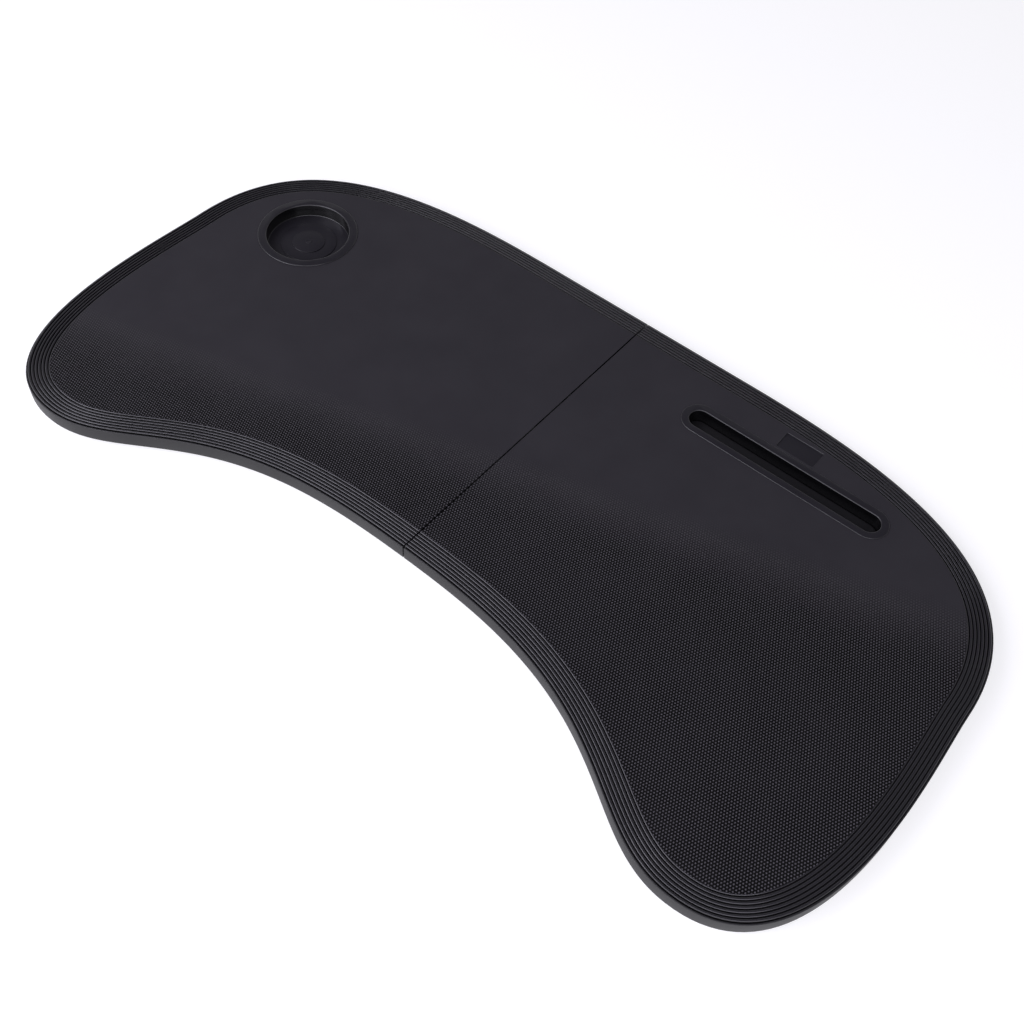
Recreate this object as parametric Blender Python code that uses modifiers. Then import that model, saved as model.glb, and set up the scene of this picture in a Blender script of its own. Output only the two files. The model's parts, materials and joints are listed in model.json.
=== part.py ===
"""Folding steering wheel tray.

Two moulded halves meet at a seam and fold with their undersides together. Each half is a
bottom shell with a top panel set into it. Steel hinges and a slide lock join the halves
underneath, and a hook that swings out of the rear edge of each half grips the rim of the wheel.

X runs along the tray, +Y points away from the driver and +Z up. The origin is on the table,
under the middle of the tray. The right half is drawn, and side = -1 mirrors it to the left.
"""

import math

import bmesh
import bpy
from mathutils import Matrix, Vector
from mathutils.geometry import interpolate_bezier

# Overall sizes, in metres
TRAY_LENGTH = 0.630
TRAY_DEPTH = 0.322
BODY_THICKNESS = 0.012
FOOT_HEIGHT = 0.003
SEAM_GAP = 0.001
FIT_GAP = 0.0003
CUT_OVERRUN = 0.002
WELD_DISTANCE = 0.00001

# Outline of the right half: knot, handle towards the rear seam, handle towards the front seam
OUTLINE_KNOT_SHARES = (
    ((0.0, 1.0), (0.0, 1.0), (0.08, 1.0)),
    ((0.23, 1.0), (0.15, 1.0), (0.515, 1.0)),
    ((0.994, 0.2), (0.994, 1.0), (0.994, -0.075)),
    ((0.77, -1.0), (1.055, -1.0), (0.673, -1.0)),
    ((0.51, -0.768), (0.611, -0.879), (0.35, -0.589)),
    ((0.0, -0.566), (0.192, -0.566), (0.0, -0.566)),
)
OUTLINE_STEPS = (2, 12, 10, 6, 8)

# Bottom shell
SHELL_FLOOR = 0.0016
SHELL_WALL = 0.0028
SEAM_WALL = 0.0024
BASE_FILLET = 0.001
SHOULDER_DROP = 0.0012
SHOULDER_HEIGHT = 0.0012
RABBET_INSET = 0.0011
POCKET_WALL = 0.0016
FILLET_MIDDLE_SHARE = 0.3

# Top panel and its grooved border
PANEL_THICKNESS = 0.0024
LIP_ROUND = 0.0006
GROOVE_PITCH = 0.0022
GROOVE_COUNT = 6
GROOVE_WIDTH = 0.0011
GROOVE_DEPTH = 0.0007

# Cup well, in the left panel
CUP_PLACE_SHARES = (-0.76, 0.428)
CUP_RADIUS = 0.0297
CUP_RING_WIDTH = 0.0063
CUP_RING_HEIGHT = 0.0008
CUP_DEPTH = 0.009
CUP_WALL = 0.0024
CUP_EDGE_ROUND = 0.0006
CUP_FLOOR_THICKNESS = 0.0011
CUP_STEP_HEIGHT = 0.0005
CUP_STEP_RADII = (0.0203, 0.0119)
CUP_SEGMENTS = 36

# Slot for a telephone or tablet, in the right panel
SLOT_X_SHARE = 0.4454
SLOT_REAR_INSET = 0.0491
SLOT_LENGTH = 0.1414
SLOT_WIDTH = 0.0146
SLOT_RING_WIDTH = 0.0053
SLOT_RING_HEIGHT = 0.0006
SLOT_COLLAR_WALL = 0.0018
SLOT_DEPTH = 0.010
SLOT_END_STEPS = 8

# Shallow label seat behind the slot, left bare
LABEL_REAR_INSET = 0.0274
LABEL_LENGTH = 0.0275
LABEL_WIDTH = 0.014
LABEL_DEPTH = 0.0005

# Case screws and the bosses that take them
CASE_SCREW_PLACE_SHARES = ((0.14, -0.46), (0.6, -0.72), (0.9, -0.6), (0.92, 0.32), (0.16, 0.48))
SCREW_HEAD_RADIUS = 0.0026
SCREW_HEAD_HEIGHT = 0.0013
SCREW_SINK = 0.0004
SCREW_SHANK_RADIUS = 0.0012
SCREW_SHANK_LENGTH = 0.0065
SHELL_BOSS_RADIUS = 0.0046
SHELL_BOSS_ROOF = 0.0016
PANEL_BOSS_RADIUS = 0.0034
SCREW_SEGMENTS = 10

# Rubber feet
FOOT_PLACE_SHARES = ((0.75, -0.76), (0.91, -0.19), (0.635, 0.825))
FOOT_NAMES = ("front", "end", "rear")
FOOT_RADIUS = 0.009
FOOT_SEAT_DEPTH = 0.0008
FOOT_EDGE_ROUND = 0.0007
FOOT_SEGMENTS = 20

# Seam hinges
HINGE_Y_SHARES = {"front": -0.385, "rear": 0.795}
HINGE_AXIS_DROP = 0.0003
HINGE_LENGTH = 0.038
LEAF_REACH = 0.023
LEAF_THICKNESS = 0.0012
KNUCKLE_COUNT = 5
KNUCKLE_RADIUS = 0.0021
HINGE_PIN_RADIUS = 0.001
HINGE_PIN_HEAD_RADIUS = 0.0016
HINGE_PIN_HEAD_LENGTH = 0.0008
HINGE_SCREW_X = 0.014
HINGE_SCREW_SPREAD = 0.024
MOUNT_BLOCK_TOP = 0.0066
MOUNT_BLOCK_MARGIN = 0.002
SMALL_SCREW_HEAD_RADIUS = 0.0022
SMALL_SCREW_RADIUS = 0.001
SMALL_SCREW_LENGTH = 0.0052
SMALL_SCREW_CONE = 0.001

# Slide lock
LOCK_Y_SHARE = 0.2174
LOCK_BAR_LENGTH = 0.060
LOCK_BAR_WIDTH = 0.018
LOCK_BAR_THICKNESS = 0.0025
LOCK_BAR_BACK = 0.006
LOCK_TRAVEL = 0.022
LOCK_END_GAP = 0.003
LOCK_PLATE_THICKNESS = 0.0012
LOCK_PLATE_WIDTH = 0.030
LOCK_PLATE_SEAM_INSET = 0.003
LOCK_COVER_REACH = 0.079
LOCK_KEEPER_REACH = 0.026
LOCK_SCREW_MARGIN = 0.005
LOCK_SCREW_SPREAD = 0.0236
THUMB_LENGTH = 0.016
THUMB_WIDTH = 0.010
THUMB_BACK = 0.006
THUMB_SINK = 0.0002
THUMB_RIDGES = 4
THUMB_RIDGE_DEPTH = 0.0006

# Hooks that swing out of the rear edge to hold the rim of the wheel
HOOK_X_SHARE = 0.3873
HOOK_REAR_INSET = 0.0108
HOOK_THICKNESS = 0.0052
HOOK_STEM_WIDTH = 0.012
HOOK_REACH = 0.042
CLAW_WIDTH = 0.010
CLAW_LENGTH = 0.0205
HOOK_INNER_ROUND = 0.008
HOOK_OUTER_ROUND = 0.014
HOOK_CORNER_STEPS = 5
HOOK_SINK = 0.0006
HOOK_PIN_RADIUS = 0.002
HOOK_PIN_HEAD_RADIUS = 0.0038
HOOK_PIN_HEAD_HEIGHT = 0.0012
HOOK_PIN_HEAD_SINK = 0.0002
HOOK_PIN_GRIP = 0.002
PIVOT_BOSS_RADIUS = 0.005
PIVOT_BOSS_CAP = 0.0008
SWEEP_MARGIN = 0.0006
SWEEP_STEPS = 8
SWEEP_END_DEGREES = 2
ROUND_SEGMENTS = 14

# Places that follow the overall sizes
CUP_X = CUP_PLACE_SHARES[0] * TRAY_LENGTH / 2
CUP_Y = CUP_PLACE_SHARES[1] * TRAY_DEPTH / 2
SLOT_X = SLOT_X_SHARE * TRAY_LENGTH / 2
SLOT_Y = TRAY_DEPTH / 2 - SLOT_REAR_INSET
LABEL_Y = TRAY_DEPTH / 2 - LABEL_REAR_INSET
HINGE_YS = {place: share * TRAY_DEPTH / 2 for place, share in HINGE_Y_SHARES.items()}
LOCK_Y = LOCK_Y_SHARE * TRAY_DEPTH / 2
HOOK_X = HOOK_X_SHARE * TRAY_LENGTH / 2
HOOK_Y = TRAY_DEPTH / 2 - HOOK_REAR_INSET

# Levels above the table
SHELL_BASE = FOOT_HEIGHT
TOP_FACE = FOOT_HEIGHT + BODY_THICKNESS
PANEL_UNDERSIDE = TOP_FACE - PANEL_THICKNESS
FLOOR_TOP = SHELL_BASE + SHELL_FLOOR
HINGE_AXIS_Z = SHELL_BASE - HINGE_AXIS_DROP
HOOK_FOOT = SHELL_BASE + HOOK_SINK
POCKET_ROOF = HOOK_FOOT + HOOK_THICKNESS + FIT_GAP
HOOK_PIN_TOP = POCKET_ROOF + HOOK_PIN_GRIP
PLATE_SEAT_Z = SHELL_BASE + LOCK_PLATE_THICKNESS + FIT_GAP
CHANNEL_ROOF = PLATE_SEAT_Z + LOCK_BAR_THICKNESS + FIT_GAP
LEAF_SEAT_Z = SHELL_BASE + LEAF_THICKNESS + FIT_GAP
SIDES = {"left": -1, "right": 1}

# Colour, roughness and metallic value of each material
MATERIAL_LOOKS = {
    "textured_black_abs": ((0.021, 0.021, 0.025), 0.55, 0.0),
    "satin_black_abs": ((0.030, 0.029, 0.033), 0.42, 0.0),
    "black_nylon": ((0.018, 0.018, 0.020), 0.50, 0.0),
    "zinc_plated_steel": ((0.48, 0.48, 0.50), 0.35, 1.0),
    "blackened_steel": ((0.06, 0.06, 0.065), 0.40, 1.0),
    "black_rubber": ((0.012, 0.012, 0.012), 0.85, 0.0),
}


def clear_scene():
    """Removes every object of the open scene."""
    for item in list(bpy.data.objects):
        bpy.data.objects.remove(item, do_unlink=True)


def new_collection(name):
    """Makes a collection and links it to the scene."""
    collection = bpy.data.collections.new(name)
    bpy.context.scene.collection.children.link(collection)
    return collection


def material_for(piece_name, look):
    """Makes one sub-part's own Principled material from a named look."""
    colour, roughness, metallic = MATERIAL_LOOKS[look]
    material = bpy.data.materials.new(f"{piece_name}_{look}")
    material.use_nodes = True
    shader = material.node_tree.nodes["Principled BSDF"]
    shader.inputs["Base Color"].default_value = (*colour, 1.0)
    shader.inputs["Roughness"].default_value = roughness
    shader.inputs["Metallic"].default_value = metallic
    return material


def piece(name, mesh, look, parent=None, location=(0.0, 0.0, 0.0)):
    """Adds one sub-part, with its origin at location, and hangs it on its parent empty."""
    item = bpy.data.objects.new(name, mesh)
    PARTS.objects.link(item)
    item.location = location
    if parent:
        item.parent = parent
        item.matrix_parent_inverse = Matrix.Translation(-parent.location)
    mesh.materials.append(material_for(name, look))
    return item


def tool(name, mesh, location=(0.0, 0.0, 0.0)):
    """Adds a shape that only cuts or joins, as a hidden wire in the cutters' collection."""
    item = bpy.data.objects.new(name, mesh)
    CUTTERS.objects.link(item)
    item.location = location
    item.hide_render = True
    item.display_type = "WIRE"
    return item


def boolean(target, shape, operation):
    """Joins a shape to a piece, or cuts it out of the piece."""
    modifier = target.modifiers.new(f"{operation.lower()} {shape.name}", "BOOLEAN")
    modifier.operation = operation
    modifier.solver = "EXACT"
    modifier.object = shape


def axis_empty(name, location):
    """Adds an empty that marks a joint's axis."""
    empty = bpy.data.objects.new(name, None)
    PARTS.objects.link(empty)
    empty.location = location
    return empty


def finished_mesh(name, bm):
    """Turns a closed bmesh into a mesh whose faces point out."""
    bmesh.ops.recalc_face_normals(bm, faces=bm.faces)
    mesh = bpy.data.meshes.new(name)
    bm.to_mesh(mesh)
    bm.free()
    return mesh


def box_mesh(name, low, high):
    """Makes a box between two corners."""
    low = Vector(low)
    high = Vector(high)
    size = high - low
    bm = bmesh.new()
    bmesh.ops.create_cube(bm, size=1.0)
    bmesh.ops.scale(bm, vec=[abs(value) for value in size], verts=bm.verts)
    bmesh.ops.translate(bm, vec=(low + high) / 2, verts=bm.verts)
    return finished_mesh(name, bm)


def rod_mesh(name, start, end, radius, segments=ROUND_SEGMENTS):
    """Makes a capped cylinder between two points."""
    start = Vector(start)
    run = Vector(end) - start
    bm = bmesh.new()
    bmesh.ops.create_cone(
        bm, cap_ends=True, segments=segments, radius1=radius, radius2=radius, depth=run.length
    )
    turn = run.to_track_quat("Z", "Y").to_matrix().to_4x4()
    bmesh.ops.transform(bm, matrix=Matrix.Translation(start + run / 2) @ turn, verts=bm.verts)
    return finished_mesh(name, bm)


def plate_mesh(name, outline, low, high):
    """Makes a flat plate of an outline, between two levels, from a filled curve."""
    curve = bpy.data.curves.new(name, "CURVE")
    curve.dimensions = "2D"
    curve.fill_mode = "BOTH"
    curve.extrude = (high - low) / 2
    spline = curve.splines.new("POLY")
    spline.points.add(len(outline) - 1)
    for point, place in zip(spline.points, outline):
        point.co = (place[0], place[1], 0.0, 1.0)
    spline.use_cyclic_u = True
    holder = bpy.data.objects.new(name, curve)
    bpy.context.scene.collection.objects.link(holder)
    graph = bpy.context.evaluated_depsgraph_get()
    flat = bpy.data.meshes.new_from_object(holder.evaluated_get(graph))
    bpy.data.objects.remove(holder, do_unlink=True)
    bm = bmesh.new()
    bm.from_mesh(flat)
    bmesh.ops.remove_doubles(bm, verts=bm.verts, dist=WELD_DISTANCE)
    bmesh.ops.translate(bm, vec=(0.0, 0.0, (low + high) / 2), verts=bm.verts)
    return finished_mesh(name, bm)


def turned_mesh(name, profile, segments):
    """Turns a profile of (radius, height) points, from its top on the axis to its foot on it."""
    mesh = bpy.data.meshes.new(f"{name}_profile")
    points = [(radius, 0.0, height) for radius, height in profile]
    mesh.from_pydata(points, [(index, index + 1) for index in range(len(points) - 1)], [])
    holder = bpy.data.objects.new(name, mesh)
    bpy.context.scene.collection.objects.link(holder)
    screw = holder.modifiers.new("turn", "SCREW")
    screw.steps = segments
    screw.render_steps = segments
    screw.use_merge_vertices = True
    screw.merge_threshold = WELD_DISTANCE
    graph = bpy.context.evaluated_depsgraph_get()
    turned = bpy.data.meshes.new_from_object(holder.evaluated_get(graph))
    bpy.data.objects.remove(holder, do_unlink=True)
    bm = bmesh.new()
    bm.from_mesh(turned)
    bmesh.ops.remove_doubles(bm, verts=bm.verts, dist=WELD_DISTANCE)
    return finished_mesh(name, bm)


def merged_mesh(name, parts):
    """Gathers meshes, each moved to its place, into one mesh of separate solids."""
    bm = bmesh.new()
    for mesh, place in parts:
        before = len(bm.verts)
        bm.from_mesh(mesh)
        bm.verts.ensure_lookup_table()
        bmesh.ops.translate(bm, vec=place, verts=bm.verts[before:])
    return finished_mesh(name, bm)


def arc(centre, radius, start_degrees, end_degrees, steps):
    """Lists the points of an arc, its two ends included."""
    points = []
    for step in range(steps + 1):
        angle = math.radians(start_degrees + (end_degrees - start_degrees) * step / steps)
        points.append((centre[0] + radius * math.cos(angle), centre[1] + radius * math.sin(angle)))
    return points


def stadium(x, y, length, radius, steps):
    """Outline of a long hole with round ends, along X."""
    reach = length / 2 - radius
    right_end = arc((x + reach, y), radius, -90, 90, steps)
    left_end = arc((x - reach, y), radius, 90, 270, steps)
    return right_end + left_end


def mirrored(outline, side):
    """Mirrors a flat outline to the given side."""
    return [(x * side, y) for x, y in outline]


def half_outline():
    """Outer edge of the right half, from the rear end of the seam round to its front end."""
    reach = TRAY_LENGTH / 2
    width = TRAY_DEPTH / 2
    knots = [[Vector((x * reach, y * width)) for x, y in knot] for knot in OUTLINE_KNOT_SHARES]
    points = []
    for start, end, steps in zip(knots, knots[1:], OUTLINE_STEPS):
        points.extend(interpolate_bezier(start[0], start[2], end[1], end[0], steps + 1)[:-1])
    points.append(knots[-1][0])
    points[0].x = SEAM_GAP / 2
    points[-1].x = SEAM_GAP / 2
    return points


def inset_ring(distance, height, seam_inset=0.0):
    """The outer edge drawn in by a distance, as a row of points at one height."""
    points = half_outline()
    last = len(points) - 1
    ring = []
    for index, point in enumerate(points):
        if index in (0, last):
            inward_y = -distance if point.y > points[last].y else distance
            ring.append(Vector((point.x + seam_inset, point.y + inward_y, height)))
            continue
        arriving = (point - points[index - 1]).normalized()
        leaving = (points[index + 1] - point).normalized()
        along = (arriving + leaving).normalized()
        inward = Vector((along.y, -along.x)) * (distance / along.dot(arriving))
        ring.append(Vector((point.x + inward.x, point.y + inward.y, height)))
    return ring


def lofted_half(name, open_rings, closed_rings, side):
    """Skins rings into one closed body.

    The open rings end on the seam, where one flat face closes them. The closed rings run
    on from the last open one and also go round along the seam.
    """
    bm = bmesh.new()
    rows = []
    for ring in open_rings + closed_rings:
        rows.append([bm.verts.new((point.x * side, point.y, point.z)) for point in ring])
    seam_rows = rows[:len(open_rings)]
    for index, (row, after) in enumerate(zip(rows, rows[1:])):
        for step in range(len(row) - 1):
            bm.faces.new((row[step], row[step + 1], after[step + 1], after[step]))
        if index >= len(open_rings) - 1:
            bm.faces.new((row[-1], row[0], after[0], after[-1]))
    bm.faces.new([row[0] for row in seam_rows] + [row[-1] for row in reversed(seam_rows)])
    bm.faces.new(rows[0])
    bm.faces.new(rows[-1])
    return finished_mesh(name, bm)


def shell_mesh(name, side):
    """Tub of one half: filleted base, wall with a rounded shoulder, rabbet and floor."""
    shoulder_top = TOP_FACE - SHOULDER_DROP
    shoulder_foot = shoulder_top - SHOULDER_HEIGHT
    ledge = PANEL_UNDERSIDE - FIT_GAP
    middle = FILLET_MIDDLE_SHARE
    open_rings = [
        inset_ring(BASE_FILLET, SHELL_BASE),
        inset_ring(BASE_FILLET * middle, SHELL_BASE + BASE_FILLET * middle),
        inset_ring(0.0, SHELL_BASE + BASE_FILLET),
        inset_ring(0.0, shoulder_foot),
        inset_ring(RABBET_INSET * middle, shoulder_top - SHOULDER_HEIGHT * middle),
        inset_ring(RABBET_INSET, shoulder_top),
        inset_ring(RABBET_INSET, ledge),
    ]
    closed_rings = [
        inset_ring(SHELL_WALL, ledge, SEAM_WALL),
        inset_ring(SHELL_WALL, FLOOR_TOP, SEAM_WALL),
    ]
    return lofted_half(name, open_rings, closed_rings, side)


def panel_mesh(name, side):
    """Top plate of one half: lip, border of parallel grooves and flat field."""
    edge = RABBET_INSET + FIT_GAP
    rings = [
        inset_ring(edge, PANEL_UNDERSIDE),
        inset_ring(edge, TOP_FACE - LIP_ROUND),
        inset_ring(edge + LIP_ROUND, TOP_FACE),
    ]
    for number in range(GROOVE_COUNT):
        middle = RABBET_INSET + GROOVE_PITCH * (number + 1)
        rings.append(inset_ring(middle - GROOVE_WIDTH / 2, TOP_FACE))
        rings.append(inset_ring(middle, TOP_FACE - GROOVE_DEPTH))
        rings.append(inset_ring(middle + GROOVE_WIDTH / 2, TOP_FACE))
    return lofted_half(name, rings, [], side)


def places(shares, side):
    """Turns shares of the half tray into places on one side."""
    return [(x * side * TRAY_LENGTH / 2, y * TRAY_DEPTH / 2) for x, y in shares]


def seam_box(side, x_near, x_far, y_low, y_high, z_low, z_high, name):
    """Makes a box on one side of the seam, from its distances to the seam."""
    x_ends = sorted((side * x_near, side * x_far))
    return box_mesh(name, (x_ends[0], y_low, z_low), (x_ends[1], y_high, z_high))


def rods_at(name, spots, low, high, radius, segments=ROUND_SEGMENTS):
    """Makes one upright rod at each spot, all in one mesh."""
    rod = rod_mesh(name, (0.0, 0.0, low), (0.0, 0.0, high), radius, segments)
    return merged_mesh(name, [(rod, (x, y, 0.0)) for x, y in spots])


def case_screw_levels():
    """Heights of a case screw's head, of the seat above it and of its tip."""
    head_foot = SHELL_BASE + SCREW_SINK
    head_top = head_foot + SCREW_HEAD_HEIGHT
    return head_foot, head_top, head_top + FIT_GAP, head_top + SCREW_SHANK_LENGTH


def add_case_screws(side_name, side, parent):
    """Pan-head screws that hold a half's shell and panel together."""
    head_foot, head_top, _, tip = case_screw_levels()
    profile = [
        (0.0, tip),
        (SCREW_SHANK_RADIUS, tip),
        (SCREW_SHANK_RADIUS, head_top),
        (SCREW_HEAD_RADIUS, head_top),
        (SCREW_HEAD_RADIUS, head_foot),
        (0.0, head_foot),
    ]
    for number, (x, y) in enumerate(places(CASE_SCREW_PLACE_SHARES, side), start=1):
        name = f"{side_name}_case_screw_{number}"
        mesh = turned_mesh(name, profile, SCREW_SEGMENTS)
        piece(name, mesh, "blackened_steel", parent, (x, y, 0.0))


def small_screw_profile(clearance):
    """Profile of a countersunk screw, or of its hole when a clearance is added."""
    head_foot = SHELL_BASE
    neck = head_foot + SMALL_SCREW_CONE
    tip = head_foot + SMALL_SCREW_LENGTH + clearance
    foot = head_foot - CUT_OVERRUN if clearance else head_foot
    profile = [
        (0.0, tip),
        (SMALL_SCREW_RADIUS + clearance, tip),
        (SMALL_SCREW_RADIUS + clearance, neck),
        (SMALL_SCREW_HEAD_RADIUS + clearance, head_foot),
    ]
    if clearance:
        profile.append((SMALL_SCREW_HEAD_RADIUS + clearance, foot))
    profile.append((0.0, foot))
    return profile


def small_screw_holes(name, spots):
    """Makes the cutter for a countersunk screw hole at each spot."""
    hole = turned_mesh(name, small_screw_profile(FIT_GAP), SCREW_SEGMENTS)
    return merged_mesh(name, [(hole, (x, y, 0.0)) for x, y in spots])


def add_small_screws(name, spots, parent):
    """Adds one countersunk screw at each spot."""
    for number, (x, y) in enumerate(spots, start=1):
        mesh = turned_mesh(name, small_screw_profile(0.0), SCREW_SEGMENTS)
        piece(f"{name}_{number}", mesh, "zinc_plated_steel", parent, (x, y, 0.0))


def hinge_screw_spots(side):
    """Places of the screws of both hinge leaves on one side."""
    half = HINGE_SCREW_SPREAD / 2
    return [(side * HINGE_SCREW_X, y + end * half) for y in HINGE_YS.values() for end in (-1, 1)]


def lock_screw_spots(side):
    """Places of the screws that hold the lock's cover on the left, or its keeper on the right."""
    half = LOCK_SCREW_SPREAD / 2
    if side < 0:
        columns = (LOCK_PLATE_SEAM_INSET + LOCK_SCREW_MARGIN, LOCK_COVER_REACH - LOCK_SCREW_MARGIN)
    else:
        columns = (LOCK_KEEPER_REACH - LOCK_SCREW_MARGIN,)
    return [(side * x, LOCK_Y + end * half) for x in columns for end in (-1, 1)]


def join_shell_bosses(shell, side):
    """Raises the screw bosses and cuts a counterbore and a clearance hole in each."""
    _, _, seat, _ = case_screw_levels()
    spots = places(CASE_SCREW_PLACE_SHARES, side)
    boss_top = seat + SHELL_BOSS_ROOF
    name = shell.name
    buried = (SHELL_BASE + FLOOR_TOP) / 2
    bosses = rods_at(f"{name}_bosses", spots, buried, boss_top, SHELL_BOSS_RADIUS, SCREW_SEGMENTS)
    boolean(shell, tool(f"{name}_bosses", bosses), "UNION")
    sinks = rods_at(
        f"{name}_sinks", spots, SHELL_BASE - CUT_OVERRUN, seat, SCREW_HEAD_RADIUS + FIT_GAP,
        SCREW_SEGMENTS,
    )
    boolean(shell, tool(f"{name}_sinks", sinks), "DIFFERENCE")
    holes = rods_at(
        f"{name}_holes", spots, SHELL_BASE, boss_top + CUT_OVERRUN, SCREW_SHANK_RADIUS + FIT_GAP,
        SCREW_SEGMENTS,
    )
    boolean(shell, tool(f"{name}_holes", holes), "DIFFERENCE")


def join_hinge_seats(shell, side):
    """Adds a solid block over each hinge leaf and cuts the leaf's seat and the knuckles' notch."""
    buried = (SHELL_BASE + FLOOR_TOP) / 2
    block_top = SHELL_BASE + MOUNT_BLOCK_TOP
    near = SEAM_GAP / 2
    half = HINGE_LENGTH / 2
    notch_half = half + FIT_GAP + HINGE_PIN_HEAD_LENGTH + FIT_GAP
    knuckle = KNUCKLE_RADIUS + FIT_GAP
    for place, y in HINGE_YS.items():
        label = f"{shell.name}_{place}"
        margin = FIT_GAP + MOUNT_BLOCK_MARGIN
        block = seam_box(
            side, near + SEAM_WALL / 2, LEAF_REACH + margin,
            y - notch_half - margin, y + notch_half + margin, buried, block_top, f"{label}_block",
        )
        boolean(shell, tool(f"{label}_block", block), "UNION")
        seat = seam_box(
            side, -CUT_OVERRUN, LEAF_REACH + FIT_GAP,
            y - half - FIT_GAP, y + half + FIT_GAP,
            SHELL_BASE - CUT_OVERRUN, LEAF_SEAT_Z, f"{label}_seat",
        )
        boolean(shell, tool(f"{label}_seat", seat), "DIFFERENCE")
        notch = seam_box(
            side, -CUT_OVERRUN, knuckle + FIT_GAP,
            y - notch_half, y + notch_half,
            SHELL_BASE - CUT_OVERRUN - CUT_OVERRUN, HINGE_AXIS_Z + knuckle, f"{label}_notch",
        )
        boolean(shell, tool(f"{label}_notch", notch), "DIFFERENCE")


def join_lock_seat(shell, side):
    """Adds the lock's block and cuts the bar's channel and the seat of the plate under it."""
    buried = (SHELL_BASE + FLOOR_TOP) / 2
    reach = LOCK_COVER_REACH if side < 0 else LOCK_KEEPER_REACH
    if side < 0:
        channel_end = LOCK_BAR_BACK + LOCK_BAR_LENGTH + LOCK_END_GAP
    else:
        channel_end = LOCK_TRAVEL - LOCK_BAR_BACK + LOCK_END_GAP
    plate_half = LOCK_PLATE_WIDTH / 2 + FIT_GAP
    bar_half = LOCK_BAR_WIDTH / 2 + FIT_GAP
    block_half = plate_half + MOUNT_BLOCK_MARGIN
    block = seam_box(
        side, (SEAM_GAP + SEAM_WALL) / 2, reach + FIT_GAP + MOUNT_BLOCK_MARGIN,
        LOCK_Y - block_half, LOCK_Y + block_half, buried, SHELL_BASE + MOUNT_BLOCK_TOP,
        f"{shell.name}_lock_block",
    )
    boolean(shell, tool(f"{shell.name}_lock_block", block), "UNION")
    seat = seam_box(
        side, LOCK_PLATE_SEAM_INSET - FIT_GAP, reach + FIT_GAP,
        LOCK_Y - plate_half, LOCK_Y + plate_half, SHELL_BASE - CUT_OVERRUN, PLATE_SEAT_Z,
        f"{shell.name}_plate_seat",
    )
    boolean(shell, tool(f"{shell.name}_plate_seat", seat), "DIFFERENCE")
    channel = seam_box(
        side, -CUT_OVERRUN, channel_end, LOCK_Y - bar_half, LOCK_Y + bar_half,
        SHELL_BASE + LOCK_PLATE_THICKNESS, CHANNEL_ROOF, f"{shell.name}_channel",
    )
    boolean(shell, tool(f"{shell.name}_channel", channel), "DIFFERENCE")


def sweep_arc(margin, end_degrees):
    """Path that the hook's claw clears as it swings from its stored place about the pivot."""
    tip_radius = CLAW_WIDTH / 2
    tip_x = HOOK_REACH + tip_radius
    tip_y = HOOK_STEM_WIDTH / 2 + CLAW_LENGTH - tip_radius
    radius = math.hypot(tip_x, tip_y) + tip_radius + SWEEP_MARGIN + margin
    front = HOOK_STEM_WIDTH / 2 + CLAW_LENGTH + FIT_GAP + margin
    start = -math.degrees(math.asin(front / radius))
    return arc((HOOK_X, HOOK_Y), radius, start, end_degrees, SWEEP_STEPS)


def hook_pocket_outline():
    """The right hook's pocket, which takes the stored hook and its swing out through the rear wall."""
    left = HOOK_X - HOOK_STEM_WIDTH / 2 - FIT_GAP
    beyond = TRAY_DEPTH / 2 + CUT_OVERRUN
    swing = sweep_arc(0.0, SWEEP_END_DEGREES)
    return [(left, swing[0][1])] + swing + [(swing[-1][0], beyond), (left, beyond)]


def hook_pocket_block_outline():
    """Outline of the solid round the pocket, which ends inside the rear wall."""
    left = HOOK_X - HOOK_STEM_WIDTH / 2 - FIT_GAP - POCKET_WALL
    swing = sweep_arc(POCKET_WALL, 0.0)
    wall = inset_ring(SHELL_WALL / 2, 0.0)
    behind = [point for point in wall if point.y > HOOK_Y and left < point.x < swing[-1][0]]
    rear = [(point.x, point.y) for point in reversed(behind)]
    return [(left, swing[0][1])] + swing + rear + [(left, rear[-1][1])]


def join_hook_pocket(shell, side):
    """Adds the solid round the hook's pocket, cuts the pocket and bores the boss for the pivot pin."""
    name = shell.name
    buried = (SHELL_BASE + FLOOR_TOP) / 2
    roof_top = POCKET_ROOF + POCKET_WALL
    block_outline = mirrored(hook_pocket_block_outline(), side)
    block = plate_mesh(f"{name}_pocket_block", block_outline, buried, roof_top)
    boolean(shell, tool(f"{name}_pocket_block", block), "UNION")
    bore_top = HOOK_PIN_TOP + FIT_GAP
    pivot = [(side * HOOK_X, HOOK_Y)]
    boss = rods_at(
        f"{name}_pivot_boss", pivot, (POCKET_ROOF + roof_top) / 2, bore_top + PIVOT_BOSS_CAP,
        PIVOT_BOSS_RADIUS,
    )
    boolean(shell, tool(f"{name}_pivot_boss", boss), "UNION")
    pocket_outline = mirrored(hook_pocket_outline(), side)
    pocket = plate_mesh(f"{name}_pocket", pocket_outline, SHELL_BASE - CUT_OVERRUN, POCKET_ROOF)
    boolean(shell, tool(f"{name}_pocket", pocket), "DIFFERENCE")
    bore = rods_at(f"{name}_pivot_bore", pivot, HOOK_FOOT, bore_top, HOOK_PIN_RADIUS + FIT_GAP)
    boolean(shell, tool(f"{name}_pivot_bore", bore), "DIFFERENCE")


def join_slot_pad(shell):
    """Raises the pad that closes the slot from below and centres the panel's collar."""
    pad = stadium(
        SLOT_X, SLOT_Y, SLOT_LENGTH - 2 * FIT_GAP, SLOT_WIDTH / 2 - FIT_GAP, SLOT_END_STEPS
    )
    pad_mesh = plate_mesh("slot_pad", pad, (SHELL_BASE + FLOOR_TOP) / 2, TOP_FACE - SLOT_DEPTH)
    boolean(shell, tool("slot_pad", pad_mesh), "UNION")


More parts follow.
